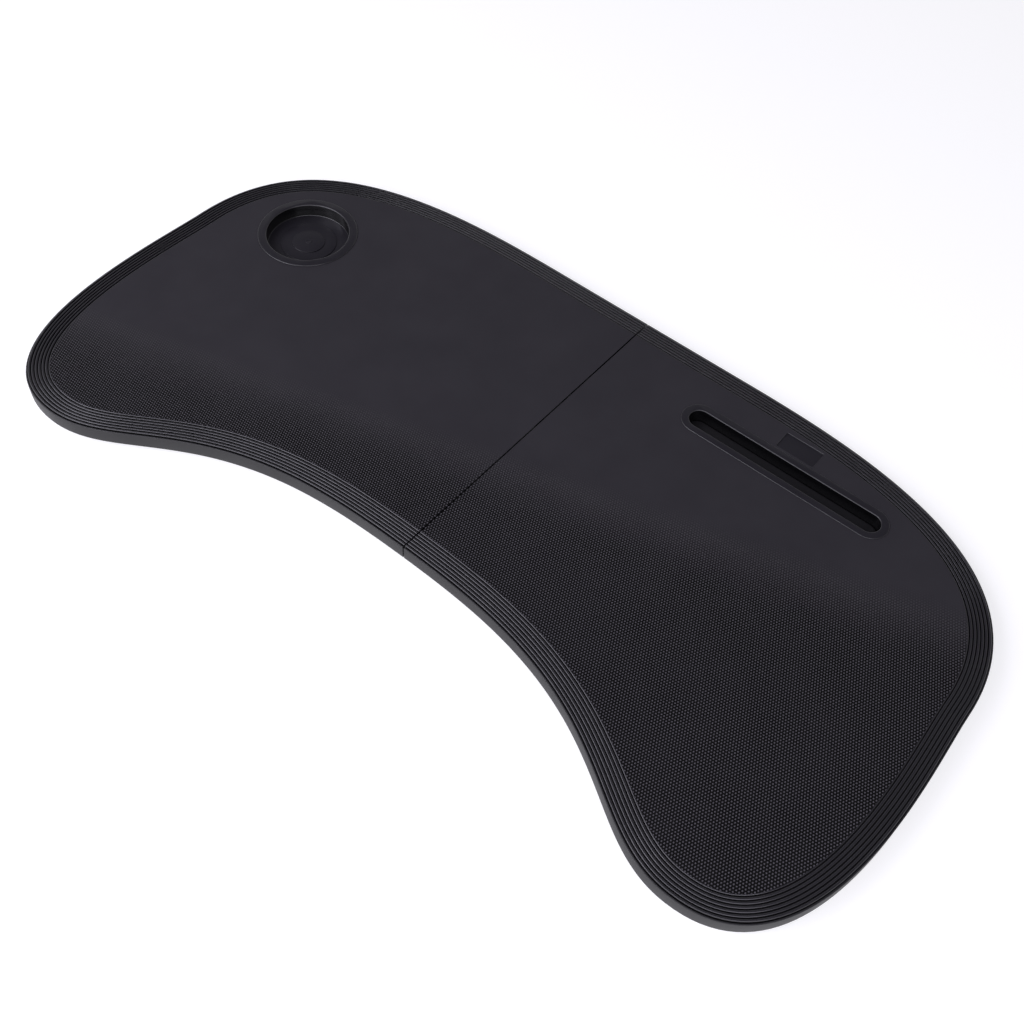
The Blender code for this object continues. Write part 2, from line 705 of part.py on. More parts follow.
def cut_foot_seats(shell, side):
    """Cuts a shallow round seat for each rubber foot."""
    spots = places(FOOT_PLACE_SHARES, side)
    seats = rods_at(
        f"{shell.name}_foot_seats", spots, SHELL_BASE - CUT_OVERRUN,
        SHELL_BASE + FOOT_SEAT_DEPTH, FOOT_RADIUS + FIT_GAP, FOOT_SEGMENTS,
    )
    boolean(shell, tool(f"{shell.name}_foot_seats", seats), "DIFFERENCE")


def add_shell(side_name, side, parent):
    """Bottom shell of one half, with the seats of everything that it carries."""
    name = f"{side_name}_bottom_shell"
    shell = piece(name, shell_mesh(name, side), "satin_black_abs", parent)
    join_shell_bosses(shell, side)
    join_hinge_seats(shell, side)
    join_lock_seat(shell, side)
    join_hook_pocket(shell, side)
    if side > 0:
        join_slot_pad(shell)
    cut_foot_seats(shell, side)
    spots = hinge_screw_spots(side) + lock_screw_spots(side)
    holes = small_screw_holes(f"{name}_small_holes", spots)
    boolean(shell, tool(f"{name}_small_holes", holes), "DIFFERENCE")


def join_panel_bosses(panel, side):
    """Hangs a pilot boss under the panel over each case screw."""
    _, _, seat, tip = case_screw_levels()
    spots = places(CASE_SCREW_PLACE_SHARES, side)
    boss_foot = seat + SHELL_BOSS_ROOF + FIT_GAP
    buried = (PANEL_UNDERSIDE + TOP_FACE - GROOVE_DEPTH) / 2
    bosses = rods_at(
        f"{panel.name}_bosses", spots, boss_foot, buried, PANEL_BOSS_RADIUS, SCREW_SEGMENTS
    )
    boolean(panel, tool(f"{panel.name}_bosses", bosses), "UNION")
    pilots = rods_at(
        f"{panel.name}_pilots", spots, boss_foot - CUT_OVERRUN, tip + FIT_GAP,
        SCREW_SHANK_RADIUS + FIT_GAP, SCREW_SEGMENTS,
    )
    boolean(panel, tool(f"{panel.name}_pilots", pilots), "DIFFERENCE")


def cup_body_profile():
    """Profile of the solid that carries the cup well: raised ring, wall and floor."""
    foot = TOP_FACE - CUP_DEPTH - CUP_FLOOR_THICKNESS
    ring_top = TOP_FACE + CUP_RING_HEIGHT
    ring_radius = CUP_RADIUS + CUP_RING_WIDTH
    wall_radius = CUP_RADIUS + CUP_WALL
    buried = (PANEL_UNDERSIDE + TOP_FACE) / 2
    return [
        (0.0, ring_top),
        (ring_radius - CUP_EDGE_ROUND, ring_top),
        (ring_radius, ring_top - CUP_EDGE_ROUND),
        (ring_radius, buried),
        (wall_radius, buried),
        (wall_radius, foot),
        (0.0, foot),
    ]


def cup_cavity_profile():
    """Profile of the cup well: rounded edge, straight wall and a floor with two raised discs."""
    ring_top = TOP_FACE + CUP_RING_HEIGHT
    level = TOP_FACE - CUP_DEPTH
    mouth = CUP_RADIUS + CUP_EDGE_ROUND
    middle = FILLET_MIDDLE_SHARE
    profile = [
        (0.0, ring_top + CUT_OVERRUN),
        (mouth, ring_top + CUT_OVERRUN),
        (mouth, ring_top),
        (CUP_RADIUS + CUP_EDGE_ROUND * middle, ring_top - CUP_EDGE_ROUND * middle),
        (CUP_RADIUS, ring_top - CUP_EDGE_ROUND),
    ]
    profile.append((CUP_RADIUS, level))
    for radius in CUP_STEP_RADII:
        profile.append((radius, level))
        level += CUP_STEP_HEIGHT
        profile.append((radius, level))
    profile.append((0.0, level))
    return profile


def join_cup_well(panel):
    """Joins the cup's body to the left panel and hollows the well out of it."""
    body = turned_mesh("cup_body", cup_body_profile(), CUP_SEGMENTS)
    boolean(panel, tool("cup_body", body, (CUP_X, CUP_Y, 0.0)), "UNION")
    cavity = turned_mesh("cup_cavity", cup_cavity_profile(), CUP_SEGMENTS)
    boolean(panel, tool("cup_cavity", cavity, (CUP_X, CUP_Y, 0.0)), "DIFFERENCE")


def join_slot(panel):
    """Adds the slot's raised ring and collar to the right panel and cuts the slot through."""
    radius = SLOT_WIDTH / 2
    ring = stadium(
        SLOT_X, SLOT_Y, SLOT_LENGTH + 2 * SLOT_RING_WIDTH, radius + SLOT_RING_WIDTH, SLOT_END_STEPS
    )
    collar = stadium(
        SLOT_X, SLOT_Y, SLOT_LENGTH + 2 * SLOT_COLLAR_WALL, radius + SLOT_COLLAR_WALL,
        SLOT_END_STEPS,
    )
    hole = stadium(SLOT_X, SLOT_Y, SLOT_LENGTH, radius, SLOT_END_STEPS)
    buried = (PANEL_UNDERSIDE + TOP_FACE) / 2
    ring_mesh = plate_mesh("slot_ring", ring, buried, TOP_FACE + SLOT_RING_HEIGHT)
    boolean(panel, tool("slot_ring", ring_mesh), "UNION")
    collar_mesh = plate_mesh("slot_collar", collar, FLOOR_TOP + FIT_GAP, buried + FIT_GAP)
    boolean(panel, tool("slot_collar", collar_mesh), "UNION")
    hole_mesh = plate_mesh("slot_hole", hole, FLOOR_TOP - CUT_OVERRUN, TOP_FACE + CUT_OVERRUN)
    boolean(panel, tool("slot_hole", hole_mesh), "DIFFERENCE")


def cut_label_seat(panel):
    """Cuts the shallow, bare rectangle behind the slot."""
    seat = box_mesh(
        "label_seat",
        (SLOT_X - LABEL_LENGTH / 2, LABEL_Y - LABEL_WIDTH / 2, TOP_FACE - LABEL_DEPTH),
        (SLOT_X + LABEL_LENGTH / 2, LABEL_Y + LABEL_WIDTH / 2, TOP_FACE + CUT_OVERRUN),
    )
    boolean(panel, tool("label_seat", seat), "DIFFERENCE")


def add_panel(side_name, side, parent):
    """Top panel of one half, with the cup well on the left or the slot on the right."""
    name = f"{side_name}_top_panel"
    panel = piece(name, panel_mesh(name, side), "textured_black_abs", parent)
    join_panel_bosses(panel, side)
    if side < 0:
        join_cup_well(panel)
    else:
        join_slot(panel)
        cut_label_seat(panel)


def knuckle_spans(y):
    """Ends along Y of each knuckle of a hinge, the first one at the front."""
    length = (HINGE_LENGTH - (KNUCKLE_COUNT - 1) * FIT_GAP) / KNUCKLE_COUNT
    pitch = length + FIT_GAP
    starts = [y - HINGE_LENGTH / 2 + number * pitch for number in range(KNUCKLE_COUNT)]
    return [(start, start + length) for start in starts]


def add_hinge_leaf(place, y, side_name, side, parent):
    """Leaf of a seam hinge, with the knuckles that belong to its side."""
    name = f"{place}_hinge_{side_name}_leaf"
    clear = KNUCKLE_RADIUS + FIT_GAP
    leaf_top = SHELL_BASE + LEAF_THICKNESS
    half = HINGE_LENGTH / 2
    plate = seam_box(side, clear, LEAF_REACH, y - half, y + half, SHELL_BASE, leaf_top, name)
    leaf = piece(name, plate, "zinc_plated_steel", parent)
    first = 0 if side < 0 else 1
    for number, (low, high) in enumerate(knuckle_spans(y)[first::2]):
        tab = seam_box(side, 0.0, clear + FIT_GAP, low, high, SHELL_BASE, leaf_top, "tab")
        boolean(leaf, tool(f"{name}_tab_{number}", tab), "UNION")
        barrel = rod_mesh(
            "knuckle", (0.0, low, HINGE_AXIS_Z), (0.0, high, HINGE_AXIS_Z), KNUCKLE_RADIUS
        )
        boolean(leaf, tool(f"{name}_knuckle_{number}", barrel), "UNION")
    reach = half + CUT_OVERRUN
    bore = rod_mesh(
        "bore", (0.0, y - reach, HINGE_AXIS_Z), (0.0, y + reach, HINGE_AXIS_Z),
        HINGE_PIN_RADIUS + FIT_GAP,
    )
    boolean(leaf, tool(f"{name}_bore", bore), "DIFFERENCE")
    spots = [spot for spot in hinge_screw_spots(side) if abs(spot[1] - y) < half]
    boolean(leaf, tool(f"{name}_holes", small_screw_holes("holes", spots)), "DIFFERENCE")


def add_hinge_pin(place, y):
    """Pin of a seam hinge, with a flat head at each end."""
    half = HINGE_LENGTH / 2 + FIT_GAP
    tip = half + HINGE_PIN_HEAD_LENGTH
    profile = [
        (0.0, tip),
        (HINGE_PIN_HEAD_RADIUS, tip),
        (HINGE_PIN_HEAD_RADIUS, half),
        (HINGE_PIN_RADIUS, half),
        (HINGE_PIN_RADIUS, -half),
        (HINGE_PIN_HEAD_RADIUS, -half),
        (HINGE_PIN_HEAD_RADIUS, -tip),
        (0.0, -tip),
    ]
    pin = piece(
        f"{place}_hinge_pin", turned_mesh("hinge_pin", profile, SCREW_SEGMENTS),
        "zinc_plated_steel", None, (0.0, y, HINGE_AXIS_Z),
    )
    pin.rotation_euler = (math.radians(90), 0.0, 0.0)


def thumb_outline():
    """Side view of the thumb piece: a block whose underside is cut into ridges."""
    far_x = -LOCK_BAR_BACK - LOCK_BAR_LENGTH + THUMB_BACK
    top = PLATE_SEAT_Z + LOCK_BAR_THICKNESS / 2
    foot = SHELL_BASE + THUMB_SINK
    pitch = THUMB_LENGTH / THUMB_RIDGES
    outline = [(far_x + THUMB_LENGTH, top), (far_x, top)]
    for number in range(THUMB_RIDGES):
        start = far_x + number * pitch
        outline.append((start, foot))
        outline.append((start + pitch / 2, foot))
        if number < THUMB_RIDGES - 1:
            outline.append((start + pitch * 3 / 4, foot + THUMB_RIDGE_DEPTH))
    outline[-1] = (far_x + THUMB_LENGTH, foot)
    return outline


def add_lock():
    """Slide lock: the bar, the slotted cover that holds it and the keeper across the seam."""
    half = LOCK_BAR_WIDTH / 2
    bar_low = (-LOCK_BAR_BACK - LOCK_BAR_LENGTH, LOCK_Y - half, PLATE_SEAT_Z)
    bar_high = (-LOCK_BAR_BACK, LOCK_Y + half, PLATE_SEAT_Z + LOCK_BAR_THICKNESS)
    bar = piece("lock_slide", box_mesh("lock_slide", bar_low, bar_high), "black_nylon")
    thumb = plate_mesh("thumb", thumb_outline(), -THUMB_WIDTH / 2, THUMB_WIDTH / 2)
    thumb.transform(Matrix.Rotation(math.radians(90), 4, "X"))
    boolean(bar, tool("lock_thumb", thumb, (0.0, LOCK_Y, 0.0)), "UNION")
    plate_half = LOCK_PLATE_WIDTH / 2
    levels = (SHELL_BASE, SHELL_BASE + LOCK_PLATE_THICKNESS)
    cover_mesh = seam_box(
        -1, LOCK_PLATE_SEAM_INSET, LOCK_COVER_REACH, LOCK_Y - plate_half, LOCK_Y + plate_half,
        *levels, "lock_cover_plate",
    )
    cover = piece("lock_cover_plate", cover_mesh, "satin_black_abs")
    thumb_far = LOCK_BAR_BACK + LOCK_BAR_LENGTH - THUMB_BACK
    slot_half = THUMB_WIDTH / 2 + FIT_GAP
    slot = seam_box(
        -1, thumb_far - THUMB_LENGTH - LOCK_TRAVEL - FIT_GAP, thumb_far + FIT_GAP,
        LOCK_Y - slot_half, LOCK_Y + slot_half,
        SHELL_BASE - CUT_OVERRUN, PLATE_SEAT_Z + CUT_OVERRUN, "lock_cover_slot",
    )
    boolean(cover, tool("lock_cover_slot", slot), "DIFFERENCE")
    holes = small_screw_holes("lock_cover_holes", lock_screw_spots(-1))
    boolean(cover, tool("lock_cover_holes", holes), "DIFFERENCE")
    add_small_screws("lock_cover_screw", lock_screw_spots(-1), None)


def add_keeper(parent):
    """Plate on the right half that the locked bar rests behind, and its two screws."""
    plate_half = LOCK_PLATE_WIDTH / 2
    mesh = seam_box(
        1, LOCK_PLATE_SEAM_INSET, LOCK_KEEPER_REACH, LOCK_Y - plate_half, LOCK_Y + plate_half,
        SHELL_BASE, SHELL_BASE + LOCK_PLATE_THICKNESS, "lock_keeper_plate",
    )
    keeper = piece("lock_keeper_plate", mesh, "satin_black_abs", parent)
    holes = small_screw_holes("lock_keeper_holes", lock_screw_spots(1))
    boolean(keeper, tool("lock_keeper_holes", holes), "DIFFERENCE")
    add_small_screws("lock_keeper_screw", lock_screw_spots(1), parent)


def hook_outline():
    """Outline of the right hook: an eye at the pivot, a stem along +X and a claw to the front."""
    half = HOOK_STEM_WIDTH / 2
    tip_radius = CLAW_WIDTH / 2
    inner = (HOOK_REACH - HOOK_INNER_ROUND, -half - HOOK_INNER_ROUND)
    tip = (HOOK_REACH + tip_radius, -half - CLAW_LENGTH + tip_radius)
    outer = (HOOK_REACH + CLAW_WIDTH - HOOK_OUTER_ROUND, half - HOOK_OUTER_ROUND)
    outline = arc((0.0, 0.0), half, 90, 270, 2 * HOOK_CORNER_STEPS)
    outline += arc(inner, HOOK_INNER_ROUND, 90, 0, HOOK_CORNER_STEPS)
    outline += arc(tip, tip_radius, 180, 360, 2 * HOOK_CORNER_STEPS)
    outline += arc(outer, HOOK_OUTER_ROUND, 0, 90, HOOK_CORNER_STEPS)
    return outline


def add_hook(side_name, side, parent):
    """Swing-out hook and the headed pin that it turns on. Both have their origin on the pivot."""
    name = f"{side_name}_hook"
    place = (side * HOOK_X, HOOK_Y, HOOK_FOOT)
    bar = plate_mesh(name, mirrored(hook_outline(), side), 0.0, HOOK_THICKNESS)
    hook = piece(name, bar, "black_nylon", parent, place)
    head_foot = HOOK_PIN_HEAD_SINK
    head_top = head_foot + HOOK_PIN_HEAD_HEIGHT
    bore = rod_mesh(
        "bore", (0.0, 0.0, -CUT_OVERRUN), (0.0, 0.0, HOOK_THICKNESS + CUT_OVERRUN),
        HOOK_PIN_RADIUS + FIT_GAP,
    )
    boolean(hook, tool(f"{name}_bore", bore, place), "DIFFERENCE")
    sink = rod_mesh(
        "sink", (0.0, 0.0, -CUT_OVERRUN), (0.0, 0.0, head_top + FIT_GAP),
        HOOK_PIN_HEAD_RADIUS + FIT_GAP,
    )
    boolean(hook, tool(f"{name}_sink", sink, place), "DIFFERENCE")
    pin_top = HOOK_PIN_TOP - HOOK_FOOT
    profile = [
        (0.0, pin_top),
        (HOOK_PIN_RADIUS, pin_top),
        (HOOK_PIN_RADIUS, head_top),
        (HOOK_PIN_HEAD_RADIUS, head_top),
        (HOOK_PIN_HEAD_RADIUS, head_foot),
        (0.0, head_foot),
    ]
    pin = turned_mesh(f"{side_name}_hook_pin", profile, ROUND_SEGMENTS)
    piece(f"{side_name}_hook_pin", pin, "zinc_plated_steel", parent, place)


def add_feet(side_name, side, parent):
    """The three round rubber feet of one half."""
    top = SHELL_BASE + FOOT_SEAT_DEPTH - FIT_GAP
    profile = [
        (0.0, top),
        (FOOT_RADIUS, top),
        (FOOT_RADIUS, FOOT_EDGE_ROUND),
        (FOOT_RADIUS - FOOT_EDGE_ROUND, 0.0),
        (0.0, 0.0),
    ]
    for foot_name, (x, y) in zip(FOOT_NAMES, places(FOOT_PLACE_SHARES, side)):
        name = f"{side_name}_{foot_name}_foot"
        piece(name, turned_mesh(name, profile, FOOT_SEGMENTS), "black_rubber", parent, (x, y, 0.0))


def build_tray():
    """Builds every sub-part. The right half hangs on the empty that marks the fold's axis."""
    fold_axis = axis_empty("fold_axis", (0.0, 0.0, HINGE_AXIS_Z))
    for side_name, side in SIDES.items():
        parent = fold_axis if side > 0 else None
        add_shell(side_name, side, parent)
        add_panel(side_name, side, parent)
        add_case_screws(side_name, side, parent)
        add_small_screws(f"{side_name}_hinge_screw", hinge_screw_spots(side), parent)
        add_hook(side_name, side, parent)
        add_feet(side_name, side, parent)
        for place, y in HINGE_YS.items():
            add_hinge_leaf(place, y, side_name, side, parent)
    for place, y in HINGE_YS.items():
        add_hinge_pin(place, y)
    add_lock()
    add_keeper(fold_axis)


clear_scene()
PARTS = new_collection("steering_wheel_tray")
CUTTERS = new_collection("cutters")
build_tray()
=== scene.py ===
"""Dresses the folding steering wheel tray: moulded halves, slide lock, rim hooks, screws and feet.

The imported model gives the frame. Shapes are drawn for the right half, and the left half takes
their mirror image. Lengths are in metres unless a name ends in mm.
"""

from __future__ import annotations

import json
import logging
import math
from abc import ABC, abstractmethod
from collections.abc import Iterable, Sequence
from dataclasses import dataclass, field
from enum import Enum

import bmesh
import bpy
from mathutils import Matrix, Quaternion, Vector
from mathutils.geometry import interpolate_bezier

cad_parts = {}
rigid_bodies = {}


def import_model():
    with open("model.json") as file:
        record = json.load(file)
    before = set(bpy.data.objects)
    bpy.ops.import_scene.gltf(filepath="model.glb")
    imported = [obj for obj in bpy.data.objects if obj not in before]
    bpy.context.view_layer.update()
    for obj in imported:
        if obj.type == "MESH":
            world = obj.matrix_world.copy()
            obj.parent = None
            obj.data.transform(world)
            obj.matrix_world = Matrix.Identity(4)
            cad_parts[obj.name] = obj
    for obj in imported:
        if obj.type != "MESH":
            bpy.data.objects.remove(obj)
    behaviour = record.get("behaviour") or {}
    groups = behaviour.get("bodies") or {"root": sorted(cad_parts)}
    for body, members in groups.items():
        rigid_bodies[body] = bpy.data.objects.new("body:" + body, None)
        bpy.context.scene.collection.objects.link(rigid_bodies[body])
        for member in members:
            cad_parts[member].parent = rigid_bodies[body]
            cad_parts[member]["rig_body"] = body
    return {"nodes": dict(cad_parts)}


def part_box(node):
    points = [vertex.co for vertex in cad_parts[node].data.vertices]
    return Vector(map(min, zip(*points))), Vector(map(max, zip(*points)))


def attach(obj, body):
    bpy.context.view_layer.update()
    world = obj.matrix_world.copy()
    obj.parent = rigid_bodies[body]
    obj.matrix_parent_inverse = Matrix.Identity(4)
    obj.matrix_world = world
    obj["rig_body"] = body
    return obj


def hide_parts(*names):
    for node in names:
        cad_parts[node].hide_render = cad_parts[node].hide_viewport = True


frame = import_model()

LOG = logging.getLogger("tray")
MM = 0.001
FOOT_ROWS = ("front", "end", "rear")
# Outline points that are nearer than this are one point.
SAME_POINT = 1e-7
# The least cosine of a mitre, below which a sharp corner is drawn blunt.
SHARPEST_MITRE = 0.2
# The span that the values of a noise texture mostly fill.
NOISE_SPAN = (0.3, 0.7)

Point = tuple[float, float]


class Side(Enum):
    """The two halves of the tray, and the sign of X on each."""

    LEFT = -1
    RIGHT = 1

    @property
    def word(self) -> str:
        """The half's name as the CAD nodes spell it."""
        return self.name.lower()

    @property
    def body(self) -> str:
        """The CAD body that the half's pieces ride on."""
        return f"{self.word}_half"


class Relief(Enum):
    """What is moulded into a plastic surface besides its grain."""

    PLAIN = "plain"
    STAGGERED_DOTS = "staggered dots"


class PanelZone(Enum):
    """The kinds of face on a top panel, and the material number of each."""

    BORDER = 0
    FIELD = 1
    RECESSED = 2


class Joining(Enum):
    """What a solid does to the solid that it is combined with."""

    ADD = "UNION"
    CUT = "DIFFERENCE"
    KEEP_COMMON = "INTERSECT"


def linear(hex_colour: str) -> tuple[float, float, float, float]:
    """Turns an sRGB hex colour to linear light.

    Args:
        hex_colour: Six hex digits after a hash sign.

    Returns:
        Red, green and blue in linear light, and full alpha.
    """
    channels = [int(hex_colour[start:start + 2], 16) / 255 for start in (1, 3, 5)]
    red, green, blue = (
        value / 12.92 if value <= 0.04045 else ((value + 0.055) / 1.055) ** 2.4
        for value in channels
    )
    return red, green, blue, 1.0


def add_node(
    tree: bpy.types.NodeTree,
    kind: str,
    settings: dict[str, object] | None = None,
    values: dict[str | int, object] | None = None,
    links: dict[str | int, bpy.types.NodeSocket] | None = None,
) -> bpy.types.Node:
    """Adds one node to a tree.

    Args:
        tree: The node tree that takes the node.
        kind: The node's type name.
        settings: Properties of the node itself.
        values: Values for its unlinked inputs, by name or number.
        links: Output sockets that feed its inputs, by name or number.

    Returns:
        The new node.
    """
    node = tree.nodes.new(kind)
    for name, setting in (settings or {}).items():
        setattr(node, name, setting)
    for key, value in (values or {}).items():
        node.inputs[key].default_value = value
    for key, socket in (links or {}).items():
        tree.links.new(socket, node.inputs[key])
    return node


@dataclass(frozen=True)
class Finish(ABC):
    """What a piece is made of and how its surface was made."""

    name: str
    slot: str

    def material(self) -> bpy.types.Material:
        """The finish's material, built the first time it is asked for."""
        made = bpy.data.materials.get(self.name)
        if made is None:
            made = bpy.data.materials.new(self.name)
            made.use_nodes = True
            self.paint(made.node_tree, made.node_tree.nodes["Principled BSDF"])
        return made

    def millimetres(self, tree: bpy.types.NodeTree) -> bpy.types.NodeSocket:
        """Adds the piece's own coordinates, scaled so that one unit is a millimetre.

        Args:
            tree: The material's node tree.

        Returns:
            The socket with the scaled coordinates.
        """
        place = add_node(tree, "ShaderNodeTexCoord")
        scaled = add_node(
            tree, "ShaderNodeVectorMath", {"operation": "SCALE"}, {"Scale": 1 / MM},
            {0: place.outputs["Object"]},
        )
        return scaled.outputs["Vector"]

    def coat(
        self,
        tree: bpy.types.NodeTree,
        shader: bpy.types.Node,
        colours: tuple[str, str],
        tone: bpy.types.NodeSocket,
        height: bpy.types.NodeSocket,
        depth_mm: float = 1.0,
    ) -> None:
        """Gives the shader a colour that follows a tone, and a relief that follows a height.

        Args:
            tree: The material's node tree.
            shader: Its Principled shader.
            colours: The sRGB hex colours at a tone of 0 and of 1.
            tone: The socket with the tone.
            height: The socket with the height.
            depth_mm: What a height of 1 stands for, in millimetres.
        """
        colour = add_node(
            tree, "ShaderNodeMix", {"data_type": "RGBA"},
            {6: linear(colours[0]), 7: linear(colours[1])}, {0: tone},
        )
        bump = add_node(
            tree, "ShaderNodeBump", None, {"Distance": depth_mm * MM}, {"Height": height}
        )
        tree.links.new(colour.outputs[2], shader.inputs["Base Color"])
        tree.links.new(bump.outputs[0], shader.inputs["Normal"])

    @abstractmethod
    def paint(self, tree: bpy.types.NodeTree, shader: bpy.types.Node) -> None:
        """Builds the finish's nodes round its Principled shader."""


@dataclass(frozen=True)
class MouldedPlastic(Finish):
    """Injection moulded plastic, with the fine grain that a spark-eroded mould leaves.

    Its tone runs from 0, which gives the darker colour, to 1, which gives the colour itself.
    Without dots the tone is a random mottle; on dots, 0 is painted shade in their hollows and 1 a
    painted highlight on their tips.
    Where it has dots, dot_share is their share of the tone and clouds have the rest. The dots
    rise out of three waves, from a level of dot_foot to one of dot_crown, and between two lines
    across the tray they fade to plain_tone.
    """

    colour: str
    hollow_colour: str
    roughness: float
    grain_depth_mm: float
    grain_mm: float = 0.45
    ior: float = 1.54
    gloss_level: float = 0.5
    roughness_spread: float = 0.05
    cloud_mm: float = 38.0
    relief: Relief = Relief.PLAIN
    dot_pitch_mm: float = 1.75
    dot_depth_mm: float = 0.8
    dot_foot: float = -0.4
    dot_crown: float = 2.0
    dot_share: float = 0.92
    plain_tone: float = 0.33
    fade_slant: float = 0.31
    fade_start_mm: float = -45.0
    fade_end_mm: float = 15.0

    def paint(self, tree: bpy.types.NodeTree, shader: bpy.types.Node) -> None:
        """Builds the grain, a faint drift of colour and gloss, and the dots where there are any."""
        spot = self.millimetres(tree)
        clouds, grain = (
            add_node(
                tree, "ShaderNodeTexNoise", None,
                {"Scale": 1 / size_mm, "Detail": detail, "Roughness": share}, {"Vector": spot},
            ).outputs["Fac"]
            for size_mm, detail, share in ((self.cloud_mm, 3.0, 0.6), (self.grain_mm, 2.0, 0.55))
        )
        height = add_node(
            tree, "ShaderNodeMath", {"operation": "MULTIPLY"}, {1: self.grain_depth_mm}, {0: grain}
        ).outputs[0]
        tone = clouds
        if self.relief is Relief.STAGGERED_DOTS:
            dots = self.dots(tree, spot)
            height = add_node(
                tree, "ShaderNodeMath", {"operation": "MULTIPLY_ADD"}, {1: self.dot_depth_mm},
                {0: dots, 2: height},
            ).outputs[0]
            # On the dots the tone paints a highlight on the tips and shade in the hollows.
            drift = add_node(
                tree, "ShaderNodeMath", {"operation": "MULTIPLY"}, {1: 1 - self.dot_share},
                {0: clouds},
            ).outputs[0]
            tone = add_node(
                tree, "ShaderNodeMath", {"operation": "MULTIPLY_ADD", "use_clamp": True},
                {1: self.dot_share}, {0: dots, 2: drift},
            ).outputs[0]
        gloss = add_node(
            tree, "ShaderNodeMapRange", None,
            {
                "From Min": NOISE_SPAN[0],
                "From Max": NOISE_SPAN[1],
                "To Min": self.roughness - self.roughness_spread,
                "To Max": self.roughness + self.roughness_spread,
            },
            {"Value": clouds},
        )
        self.coat(tree, shader, (self.hollow_colour, self.colour), tone, height)
        shader.inputs["IOR"].default_value = self.ior
        shader.inputs["Specular IOR Level"].default_value = self.gloss_level
        tree.links.new(gloss.outputs[0], shader.inputs["Roughness"])

    def dots(self, tree: bpy.types.NodeTree, spot: bpy.types.NodeSocket) -> bpy.types.NodeSocket:
        """Adds raised dots in rows a pitch apart, staggered by half a pitch, which fade rearwards.

        Args:
            tree: The material's node tree.
            spot: The socket with the coordinates in millimetres.

        Returns:
            The socket with the height, which is also the tone that paints shade in the hollows and
            a highlight on the tips: 0 between the dots, 1 on them, and where they have faded the
            plain tone.
        """
        turn = 2 * math.pi / self.dot_pitch_mm
        axes = add_node(tree, "ShaderNodeSeparateXYZ", None, None, {0: spot})
        waves = []
        for axis, share in (("X", 1.0), ("Y", 0.5), ("Y", 1.0)):
            angle = add_node(
                tree, "ShaderNodeMath", {"operation": "MULTIPLY"}, {1: turn * share},
                {0: axes.outputs[axis]},
            )
            wave = add_node(
                tree, "ShaderNodeMath", {"operation": "COSINE"}, None, {0: angle.outputs[0]}
            )
            waves.append(wave.outputs[0])
        along, stagger, rows = waves
        staggered = add_node(
            tree, "ShaderNodeMath", {"operation": "MULTIPLY"}, None, {0: along, 1: stagger}
        )
        total = add_node(
            tree, "ShaderNodeMath", {"operation": "MULTIPLY_ADD"}, {1: 2.0},
            {0: staggered.outputs[0], 2: rows},
        )
        dots = add_node(
            tree, "ShaderNodeMapRange", {"interpolation_type": "SMOOTHSTEP"},
            {
                "From Min": self.dot_foot,
                "From Max": self.dot_crown,
                "To Min": -self.plain_tone,
                "To Max": 1.0 - self.plain_tone,
            },
            {"Value": total.outputs[0]},
        )
        rearward = add_node(
            tree, "ShaderNodeMath", {"operation": "MULTIPLY_ADD"}, {1: -self.fade_slant},
            {0: axes.outputs["X"], 2: axes.outputs["Y"]},
        )
        fade = add_node(
            tree, "ShaderNodeMapRange", {"interpolation_type": "SMOOTHSTEP"},
            {
                "From Min": self.fade_start_mm,
                "From Max": self.fade_end_mm,
                "To Min": 1.0,
                "To Max": 0.0,
            },
            {"Value": rearward.outputs[0]},
        )
        faded = add_node(
            tree, "ShaderNodeMath", {"operation": "MULTIPLY_ADD"}, {2: self.plain_tone},
            {0: dots.outputs[0], 1: fade.outputs[0]},
        )
        return faded.outputs[0]


@dataclass(frozen=True)
class PlatedSteel(Finish):
    """Pressed or turned steel with a plated coat, whose fine scratches follow no one direction."""

    colour: str
    stain_colour: str
    roughness: float
    scratch_mm: float = 0.35
    scratch_depth_mm: float = 0.006
    scratch_gloss: tuple[float, float] = (0.75, 1.3)
    stain_mm: float = 6.0

    def paint(self, tree: bpy.types.NodeTree, shader: bpy.types.Node) -> None:
        """Builds the plating's cloudy tint, its uneven gloss and its fine scratches."""
        spot = self.millimetres(tree)
        stains = add_node(
            tree, "ShaderNodeTexNoise", None,
            {"Scale": 1 / self.stain_mm, "Detail": 4.0, "Roughness": 0.65}, {"Vector": spot},
        )
        scratches = add_node(
            tree, "ShaderNodeTexNoise", None,
            {"Scale": 1 / self.scratch_mm, "Detail": 3.0, "Distortion": 1.5}, {"Vector": spot},
        )
        low, high = (self.roughness * share for share in self.scratch_gloss)
        gloss = add_node(
            tree, "ShaderNodeMapRange", None, {"To Min": low, "To Max": high},
            {"Value": scratches.outputs["Fac"]},
        )
        self.coat(
            tree, shader, (self.stain_colour, self.colour), stains.outputs["Fac"],
            scratches.outputs["Fac"], self.scratch_depth_mm,
        )
        shader.inputs["Metallic"].default_value = 1.0
        tree.links.new(gloss.outputs[0], shader.inputs["Roughness"])


